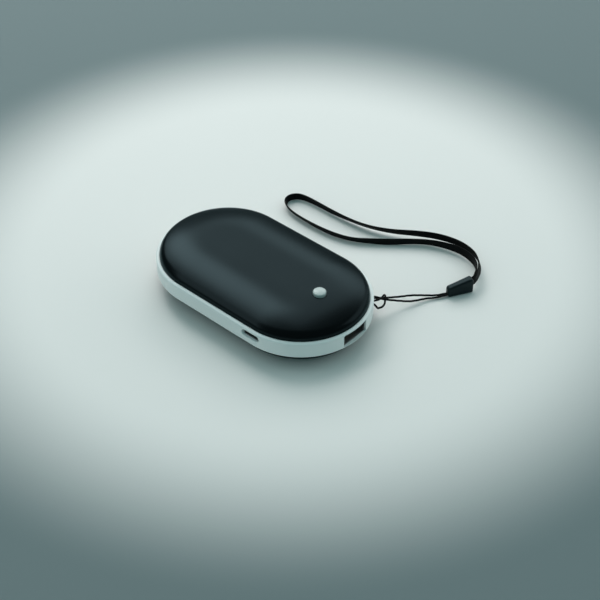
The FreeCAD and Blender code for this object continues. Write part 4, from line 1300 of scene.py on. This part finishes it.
# The strap
@dataclass(frozen=True)
class StrapFrame:
    """The strap's own directions: along it from the lug's bar, to its left, and up."""

    bar_x: float = 39.202
    bar_y: float = 20.659
    angle: float = 62.0

    def world(self, along: Measure, left: Measure, height: Measure) -> Array:
        """Places in the part's frame: the strap's places turned by its angle and moved to the bar.

        Args:
            along: distances along the strap from the bar.
            left: distances to its left.
            height: heights.

        Returns:
            Points with x, y and z, shaped (..., 3).
        """
        turn = math.radians(self.angle)
        x = self.bar_x + along * math.cos(turn) - left * math.sin(turn)
        y = self.bar_y + along * math.sin(turn) + left * math.cos(turn)
        return np.stack(np.broadcast_arrays(x, y, height), -1)


STRAP = StrapFrame()


@dataclass(frozen=True)
class Clasp:
    """The tapered clasp that takes the string at its low end and the webbing at its tall end.

    Openings are given as half width, low and high, where they meet inside; the slot rises towards its
    mouth. Corners are given as the radius at the foot and at the top.
    """

    start: float = 35.2
    length: float = 11.5
    heights: Pair = (4.7, 7.4)
    halves: Pair = (1.45, 1.75)
    edge: float = 0.85
    low_corners: Pair = (1.6, 1.1)
    tall_corners: Pair = (0.9, 1.8)
    mouth_round: float = 0.12
    mouth_rings: int = 5
    hole: Triple = (1.0, 0.55, 1.65)
    slot: Triple = (0.8, 1.05, 4.95)
    slot_rise: float = 1.7
    hole_corner: float = 0.2
    middle: float = 39.7
    body_margin: float = 2.2
    body_steps: int = 7
    end_steps: int = 18
    corner_steps: int = 8
    side_steps: int = 6
    crease: float = 50.0

    def tapered(self, ends: Pair, along: Measure) -> Measure:
        """A size that goes evenly from one end's value to the other's."""
        return ends[0] + (ends[1] - ends[0]) * (along - self.start) / self.length

    def outline(self, half: float, low: float, high: float, corner: float) -> Array:
        """A rounded rectangle from a half width, two heights and its corners' radius."""
        base = rounded_rectangle(half, (high - low) / 2, corner, self.corner_steps, self.side_steps)
        return base + (0, (high + low) / 2)

    def set_back(self, outline: Array, at_start: bool) -> Array:
        """How far a rounded end stands back: a quarter circle towards its foot, its top and each side.

        Args:
            outline: distance to the left and height, shaped (..., 2).
            at_start: whether it is the low end.

        Returns:
            Distances in from the end's flat, shaped (...).
        """
        end = 0 if at_start else 1
        foot, crown = self.low_corners if at_start else self.tall_corners
        left, height = outline[..., 0], outline[..., 1]
        rounds = ((foot, height), (crown, self.heights[end] - height),
                  (self.edge, self.halves[end] - np.abs(left)))
        back = np.zeros(left.shape)
        for radius, inside in rounds:
            short = np.clip(1 - inside / radius, 0, 1)
            back += radius * (1 - np.sqrt(1 - short ** 2))
        return back

    def end_rings(self, at_start: bool) -> Array:
        """Rings of one end, from the middle of the clasp out through its opening and over the rounded end.

        The outline grows from the opening to the full section by a sine, so that rings lie close
        together where the end turns, and each place is set back as the rounding asks.

        Args:
            at_start: whether it is the low end.

        Returns:
            Places in the strap's frame, shaped (rings, points, 3).
        """
        end = 0 if at_start else 1
        half, low, high = self.hole if at_start else self.slot
        rise = 0.0 if at_start else self.slot_rise
        lean = np.radians(np.linspace(0, 90, self.mouth_rings))
        turns = zip(self.mouth_round * (1 - np.cos(lean)), self.mouth_round * (1 - np.sin(lean)))
        mouth = np.array([(half + grow, low + rise - grow, high + rise + grow, self.hole_corner + grow, depth)
                          for grow, depth in turns])
        first = mouth[-1]
        last = np.array((self.halves[end], 0.0, self.heights[end], self.edge, 0.0))
        share = np.sin(np.radians(np.linspace(0, 90, self.end_steps)))[1:, None]
        table = np.concatenate((mouth, first + (last - first) * share))
        inner = self.outline(half, low, high, self.hole_corner)
        rings = [np.concatenate((np.full((len(inner), 1), self.middle), inner), -1)]
        for wide, floor, roof, corner, depth in table:
            outline = self.outline(wide, floor, roof, corner)
            inwards = self.set_back(outline, at_start) + depth
            along = self.start + inwards if at_start else self.start + self.length - inwards
            left = outline[:, 0] * self.tapered(self.halves, along) / self.halves[end]
            height = outline[:, 1] * self.tapered(self.heights, along) / self.heights[end]
            rings.append(np.stack((along, left, height), -1))
        return np.stack(rings)

    def body_rings(self) -> Array:
        """Rings of the tapered body between its two ends, each a rounded rectangle of the size there.

        Returns:
            Places in the strap's frame, shaped (rings, points, 3).
        """
        rings = []
        near, far = self.start + self.body_margin, self.start + self.length - self.body_margin
        for along in np.linspace(near, far, self.body_steps):
            half, top = self.tapered(self.halves, along), self.tapered(self.heights, along)
            outline = self.outline(half, 0.0, top, self.edge)
            rings.append(np.concatenate((np.full((len(outline), 1), along), outline), -1))
        return np.stack(rings)

    def build(self, wardrobe: Wardrobe) -> bpy.types.Object:
        """Make the clasp as one closed loft of rounded rectangles and dress it.

        Args:
            wardrobe: gives the finish.

        Returns:
            The clasp.
        """
        rings = np.concatenate((self.end_rings(True), self.body_rings(), self.end_rings(False)[::-1]))
        surface = Surface()
        surface.add(STRAP.world(*np.moveaxis(rings, -1, 0)), round_rows=True, round_columns=True)
        piece = surface.build("tapered_clasp", self.crease)
        return wardrobe.dress(piece, Slot.CLASP, Body.STRAP, "strap_clasp")


def spline_points(name: str, route: Array, resolution: int) -> Array:
    """Points along a smooth spline that has a route's points as its control points.

    Args:
        name: a name for the passing curve.
        route: the control points in millimetres, shaped (count, 3).
        resolution: points read for each control point.

    Returns:
        Points in millimetres along the spline, shaped (count, 3).
    """
    curve = bpy.data.curves.new(name, "CURVE")
    curve.dimensions = "3D"
    curve.resolution_u = resolution
    line = curve.splines.new("NURBS")
    line.points.add(len(route) - 1)
    weighted = np.concatenate((route * MM, np.ones((len(route), 1))), -1)
    line.points.foreach_set("co", weighted.astype(np.float32).ravel())
    line.order_u = SPLINE_ORDER
    line.use_endpoint_u = True
    holder = bpy.data.objects.new(name, curve)
    bpy.context.scene.collection.objects.link(holder)
    mesh = bpy.data.meshes.new_from_object(holder)
    places = np.empty(3 * len(mesh.vertices), np.float32)
    mesh.vertices.foreach_get("co", places)
    bpy.data.objects.remove(holder)
    bpy.data.curves.remove(curve)
    bpy.data.meshes.remove(mesh)
    return places.reshape(-1, 3).astype(float) / MM


def travelled(path: Array) -> Array:
    """Distance along a path at each of its points."""
    return np.concatenate(([0.0], np.cumsum(np.linalg.norm(np.diff(path, axis=0), axis=-1))))


def evened(path: Array, step: float, carried: Array | None = None) -> Array:
    """A path's line, or one that goes beside it, at points an even step apart on the path.

    Args:
        path: points shaped (count, 3).
        step: distance between the new points.
        carried: the line beside the path, point for point, or none for the path itself.

    Returns:
        Points shaped (new count, 3).
    """
    way = travelled(path)
    even = np.linspace(0, way[-1], math.ceil(way[-1] / step) + 1)
    line = path if carried is None else carried
    return np.stack([np.interp(even, way, line[:, axis]) for axis in range(3)], -1)


def unit(vectors: Array) -> Array:
    """Vectors made one long."""
    return vectors / np.linalg.norm(vectors, axis=-1, keepdims=True)


def path_sides(path: Array, upward: Array) -> tuple[Array, Array]:
    """Directions square to a path: one to its left, and one nearest to a wanted upward direction.

    Args:
        path: points shaped (count, 3).
        upward: the wanted direction at each point, or one for all.

    Returns:
        Left and up at each point, shaped (count, 3).
    """
    ahead = unit(np.gradient(path, axis=0))
    left = unit(np.cross(upward, ahead))
    return left, np.cross(ahead, left)


@dataclass(frozen=True)
class Cordage:
    """The lanyard string, hitched on the lug's bar, and the webbing loop, both held in the clasp."""

    clasp: Clasp = Clasp()
    string_diameter: float = 0.85
    string_length: float = 114.8
    string_height: float = 1.1
    string_half_split: float = 0.5
    string_straight: float = 6.7
    string_bend: Pair = (2.0, 9.0)
    strands: int = 3
    strand_depth: float = 0.07
    strand_lay: float = 3.2
    string_step: float = 0.1
    string_sides: int = 18
    webbing_width: float = 3.6
    webbing_thickness: float = 0.6
    webbing_length: float = 241.3
    webbing_lifts: Pair = (1.8, 2.9)
    webbing_half_split: float = 0.35
    webbing_straight: float = 0.2
    webbing_start: float = 42.2
    webbing_step: float = 0.18
    webbing_corner: float = 0.26
    webbing_corner_steps: int = 4
    webbing_side_steps: int = 16
    ribs: int = 5
    rib_depth: float = 0.06
    resolution: int = 32

    def string_route(self) -> Array:
        """The string's control points: from the clasp to the hitch on the bar and back.

        Returns:
            Points shaped (count, 3).
        """
        route = np.array((
            (29.50, -0.10, 0.85), (26.20, 0.60, 1.05), (23.00, 0.10, 1.60), (18.40, -0.20, 2.30),
            (13.40, 0.10, 4.00), (8.60, 0.30, 5.80), (5.40, 1.10, 6.80), (2.40, 1.30, 8.00),
            (-1.75, 1.60, 8.40), (-1.75, -1.75, 8.25), (1.20, -2.20, 8.15), (2.25, -2.95, 6.45),
            (2.80, -2.70, 5.40), (4.30, -1.90, 4.60), (5.90, -1.00, 4.00), (7.40, 0.40, 4.10),
            (8.20, 1.90, 6.60), (7.20, 0.90, 8.70), (4.70, -1.30, 8.80), (1.70, -2.00, 9.20),
            (-1.75, -1.75, 9.60), (-1.75, 1.85, 9.50), (2.60, 0.60, 9.10), (5.40, 0.00, 7.90),
            (8.60, 0.40, 6.90), (13.90, 1.20, 5.10), (19.80, 2.00, 3.55), (25.00, 1.50, 2.40),
            (29.40, 0.90, 1.40),
        ))
        inner = self.clasp.middle
        outer = inner - self.string_straight
        side, height = self.string_half_split, self.string_height
        start = ((inner, -side, height), (outer, -side, height))
        end = ((outer, side, height), (inner, side, height))
        return STRAP.world(*np.concatenate((start, route, end)).T)

    def webbing_routes(self) -> tuple[Array, Array]:
        """Control points of the webbing's middle line and of its upper edge, once round from the clasp.

        Each place has the height of the webbing's lower edge, and how many degrees it leans to the left.

        Returns:
            Two lines, shaped (count, 3).
        """
        loop = np.array((
            (61.20, 64.60, 2.80, 2), (59.80, 67.70, 2.40, 12), (58.10, 71.30, 2.00, 19),
            (55.20, 75.30, 1.60, 19), (49.90, 79.20, 1.40, 12), (41.20, 80.60, 1.40, 8),
            (31.40, 78.40, 1.40, 7), (22.80, 73.70, 1.40, 12), (13.90, 67.80, 1.20, 24),
            (4.10, 64.10, 0.80, 34), (-5.70, 62.70, 0.40, 32), (-15.20, 62.20, 0.10, 20),
            (-24.40, 62.30, 0.10, 17), (-30.80, 62.10, 0.10, 11), (-35.00, 60.90, 0.10, 5),
            (-37.30, 57.70, 0.10, 3), (-36.70, 54.20, 0.10, -12), (-33.50, 51.60, 0.10, -27),
            (-28.60, 50.30, 0.10, -31), (-22.20, 49.80, 0.05, -33), (-13.10, 49.60, 0.05, -27),
            (-4.10, 50.50, 0.05, -24), (3.40, 53.00, 0.05, -29), (9.90, 57.30, 0.05, -16),
            (17.00, 62.50, 0.10, -3), (23.60, 68.80, 0.30, -15), (30.50, 73.70, 0.50, -15),
            (38.00, 76.30, 0.80, -4), (45.20, 77.10, 1.10, 8), (50.80, 75.50, 1.50, 10),
            (55.00, 73.00, 2.00, 3), (58.00, 69.40, 2.40, -3), (59.70, 65.50, 2.80, 0),
        ))
        inner = np.array((self.webbing_start, self.clasp.start + self.clasp.length + self.webbing_straight))
        side = self.webbing_half_split
        lifts = np.array(self.webbing_lifts)
        start = STRAP.world(inner, np.full(2, -side), lifts)
        end = STRAP.world(inner[::-1], np.full(2, side), lifts[::-1])
        lower = np.concatenate((start, loop[:, :3], end))
        lean = np.radians(np.concatenate((np.zeros(2), loop[:, 3], np.zeros(2))))[:, None]
        left = unit(np.cross(UPWARD, np.gradient(lower, axis=0) * (1, 1, 0)))
        half = self.webbing_width / 2
        rise = half * np.cos(lean) + self.webbing_thickness / 2 * np.abs(np.sin(lean))
        middle = lower + rise * UPWARD
        return middle, middle + half * (np.cos(lean) * UPWARD + np.sin(lean) * left)

    def build_string(self, wardrobe: Wardrobe) -> None:
        """Make the string: a tube of twisted strands, whose radius is a cosine of the turned angle.

        Args:
            wardrobe: gives the finish.
        """
        path = evened(spline_points("string_line", self.string_route(), self.resolution), self.string_step)
        way = travelled(path)
        left, up = path_sides(path, np.array(UPWARD))
        angle = np.linspace(0, 2 * math.pi, self.string_sides, endpoint=False)
        turn = angle[None, :] - 2 * math.pi * way[:, None] / (self.strand_lay * self.strands)
        radius = self.string_diameter / 2 * (1 + self.strand_depth * np.cos(self.strands * turn))
        across = (radius * np.cos(angle))[..., None] * left[:, None, :]
        rise = (radius * np.sin(angle))[..., None] * up[:, None, :]
        surface = Surface()
        girth = np.linspace(0, math.pi * self.string_diameter, len(angle) + 1)
        surface.add(path[:, None, :] + across + rise, round_columns=True, lie=(way, girth))
        self.cap(surface, path, across + rise)
        piece = wardrobe.dress(surface.build("twisted_string"), Slot.STRING, None, "lanyard_string")
        held, free = (STRAP.world(along, 0.0, self.string_height) * MM for along in self.string_bend)
        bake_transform(piece)
        exit_place = STRAP.world(self.clasp.start, 0.0, self.string_height) * MM

    def build_webbing(self, wardrobe: Wardrobe) -> None:
        """Make the webbing: a rounded strip with lengthwise ribs, carried along its path as its edge leans.

        A rib is a cosine of the way across, and takes a little off the strip's thickness between ribs.

        Args:
            wardrobe: gives the finish.
        """
        routes = self.webbing_routes()
        middle, edge = (spline_points("webbing_line", route, self.resolution) for route in routes)
        path = evened(middle, self.webbing_step)
        way = travelled(path)
        left, up = path_sides(path, unit(evened(middle, self.webbing_step, edge) - path))
        outline = rounded_rectangle(self.webbing_thickness / 2, self.webbing_width / 2, self.webbing_corner,
                                    self.webbing_corner_steps, self.webbing_side_steps)
        wave = np.cos(2 * math.pi * self.ribs * outline[:, 1] / self.webbing_width)
        outline = outline * np.stack((1 - self.rib_depth * (1 + wave), np.ones(len(wave))), -1)
        section = outline[None, :, :1] * left[:, None, :] + outline[None, :, 1:] * up[:, None, :]
        girth = travelled(np.concatenate((outline, outline[:1])))
        surface = Surface()
        surface.add(path[:, None, :] + section, round_columns=True, lie=(way, girth))
        self.cap(surface, path, section)
        piece = wardrobe.dress(surface.build("wrist_webbing"), Slot.WEBBING, Body.STRAP, "wrist_strap")
        exit_height = self.webbing_lifts[1] + self.webbing_width / 2
        exit_place = STRAP.world(self.clasp.start + self.clasp.length, 0.0, exit_height) * MM

    def cap(self, surface: Surface, path: Array, section: Array) -> None:
        """Close a cord's two ends by drawing the end rings in to the path.

        Args:
            surface: the cord's surface.
            path: the cord's path.
            section: each ring's places from the path.
        """
        share = np.array((1.0, 0.5, 0.0))[:, None, None]
        for end in (0, -1):
            flat = np.zeros(len(share))
            girth = np.zeros(section.shape[1] + 1)
            surface.add(path[end] + section[end] * share, round_columns=True, lie=(flat, girth))

    def build(self, wardrobe: Wardrobe) -> None:
        """Make the clasp, the string and the webbing.

        Args:
            wardrobe: gives the finishes.
        """
        clasp = self.clasp.build(wardrobe)
        self.build_string(wardrobe)
        self.build_webbing(wardrobe)


# The studio
@dataclass(frozen=True)
class Lamp:
    """A soft rectangular lamp, placed and measured in metres.

    It shines along its aim, and its second side lies square to that. A glow of 1 is as bright as a white
    wall in full light.
    """

    name: str
    place: Triple
    size: Pair
    glow: float
    aim: Triple = (0.0, 0.0, -1.0)
    lie: Triple = (0.0, 1.0, 0.0)

    def hang(self) -> None:
        """Hang the lamp; its power is its glow times pi times its area."""
        light = bpy.data.lights.new(self.name, "AREA")
        light.shape = "RECTANGLE"
        light.size, light.size_y = self.size
        light.energy = self.glow * math.pi * self.size[0] * self.size[1]
        holder = bpy.data.objects.new(self.name, light)
        holder.location = self.place
        back, side = -Vector(self.aim).normalized(), Vector(self.lie).normalized()
        holder.rotation_euler = Matrix((side.cross(back), side, back)).transposed().to_euler()
        bpy.context.scene.collection.objects.link(holder)


LAMPS = (
    Lamp("ceiling_softbox", place=(-0.93, 1.10, 1.0), size=(1.62, 1.95), glow=1.75),
    Lamp("back_softbox", place=(-0.75, 1.65, 0.98), size=(1.0, 1.1), glow=1.45),
    Lamp("key_softbox", place=(-1.33, 0.55, 0.98), size=(0.40, 1.90), glow=3.9, lie=(-1.0, 0.42, 0.0)),
    Lamp("left_strip", place=(-1.0, -1.08, 1.03), size=(0.42, 2.5), glow=1.6,
         aim=(1.0, 0.83, -1.2), lie=(0.0, -1.55, -1.073)),
    Lamp("right_fill", place=(0.65, 1.25, 0.6), size=(1.1, 1.8), glow=0.9,
         aim=(-0.65, -1.25, -0.6), lie=(-1.25, 0.65, 0.0)),
    Lamp("far_strip", place=(-1.5, 1.2, 0.7), size=(0.55, 1.3), glow=0.35,
         aim=(1.5, -1.2, -0.7), lie=(1.2, 1.5, 0.0)),
)


@dataclass(frozen=True)
class Studio:
    """Floor, lights and camera, at the photograph's angle."""

    azimuth: float = 41.638
    elevation: float = 40.91
    distance: float = 571.59
    look_at: Triple = (11.783, 9.462, 0.0)
    lens: float = 82.69
    near_clip: float = 0.01
    floor_radius: float = 2500.0
    floor_first_ring: float = 40.0
    floor_rings: int = 12
    floor_steps: int = 64
    floor_gloss: float = 0.7
    floor_shine: float = 0.2
    near_floor: Triple = (0.78, 0.745, 0.724)
    # The far floor colour is painted shade: the floor darkens outwards as a painted falloff of the light,
    # between the two distances of the fade.
    painted_shade_floor: Triple = (0.15, 0.19, 0.195)
    floor_centre: Pair = (-14.0, 33.0)
    painted_shade_span: Pair = (110.0, 188.0)
    room_light: Triple = (0.17, 0.335, 0.345)

    def floor(self) -> None:
        """Lay the floor: rings of points out from under the part, paler in the middle and darkening outwards
        as painted shade.
        """
        rings = np.geomspace(self.floor_first_ring, self.floor_radius, self.floor_rings)
        radius = np.concatenate(([0.0], rings))
        flat = np.stack((radius, np.zeros(len(radius))), -1)
        surface = Surface()
        surface.add(spun(flat, self.look_at[0], self.look_at[1], self.floor_steps), round_columns=True)
        piece = surface.build("studio_floor")
        material, wire, shader = new_material("floor_painted_falloff")
        place = wire.node("ShaderNodeTexCoord")
        moved = wire.node("ShaderNodeMapping")
        fill(moved, {"Location": (-self.floor_centre[0] * MM, -self.floor_centre[1] * MM, 0.0)})
        wire.link(place.outputs["Object"], moved.inputs["Vector"])
        reach = wire.node("ShaderNodeVectorMath", operation="LENGTH")
        wire.link(moved.outputs["Vector"], reach.inputs[0])
        # Mask of the painted shade: where it takes over from the floor's own colour, by distance from the
        # floor's centre.
        far = wire.node("ShaderNodeMapRange", interpolation_type="SMOOTHSTEP")
        wire.link(reach.outputs["Value"], far.inputs["Value"])
        fill(far, {"From Min": self.painted_shade_span[0] * MM, "From Max": self.painted_shade_span[1] * MM})
        mixed = wire.blend(far.outputs["Result"], self.near_floor, self.painted_shade_floor)
        wire.link(mixed, shader.inputs["Base Color"])
        fill(shader, {"Roughness": self.floor_gloss, "Specular IOR Level": self.floor_shine})
        piece.data.materials.append(material)

    def world(self) -> None:
        """Set the room's even light, and a plain wall that the camera and gloss see, in the colour of the
        floor's painted shade.
        """
        room = bpy.data.worlds.new("room")
        room.use_nodes = True
        bpy.context.scene.world = room
        wire = Wiring(room.node_tree)
        even = room.node_tree.nodes["Background"]
        fill(even, {"Color": colour(self.room_light)})
        wall = wire.node("ShaderNodeBackground")
        fill(wall, {"Color": colour(self.painted_shade_floor)})
        ray = wire.node("ShaderNodeLightPath")
        seen = wire.math("MAXIMUM", ray.outputs["Is Camera Ray"], ray.outputs["Is Glossy Ray"])
        chosen = wire.node("ShaderNodeMixShader")
        wire.link(wire.math("MAXIMUM", seen, ray.outputs["Is Transmission Ray"]), chosen.inputs[0])
        wire.link(even.outputs[0], chosen.inputs[1])
        wire.link(wall.outputs[0], chosen.inputs[2])
        wire.link(chosen.outputs[0], room.node_tree.nodes["World Output"].inputs["Surface"])

    def camera(self) -> None:
        """Stand the camera at the photograph's angle."""
        turn, rise = math.radians(self.azimuth), math.radians(self.elevation)
        back = Vector((math.sin(turn) * math.cos(rise), -math.cos(turn) * math.cos(rise), math.sin(rise)))
        data = bpy.data.cameras.new("studio_camera")
        data.lens = self.lens
        data.clip_start = self.near_clip
        holder = bpy.data.objects.new("studio_camera", data)
        holder.location = (Vector(self.look_at) + back * self.distance) * MM
        holder.rotation_mode = "QUATERNION"
        holder.rotation_quaternion = (-back).to_track_quat("-Z", "Y")
        bpy.context.scene.collection.objects.link(holder)
        bpy.context.scene.camera = holder

    def build(self) -> None:
        """Set up the whole studio."""
        bpy.context.scene.view_settings.view_transform = "Standard"
        self.floor()
        self.world()
        for lamp in LAMPS:
            lamp.hang()
        self.camera()


def main() -> None:
    """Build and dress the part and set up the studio."""
    logging.basicConfig(level=logging.INFO, format="%(message)s")
    wardrobe = Wardrobe()
    wardrobe.dress_solids()
    for assembly in (Shells(), Band(), PressButton(), Cordage()):
        assembly.build(wardrobe)
    Studio().build()


if __name__ == "__main__":
    main()
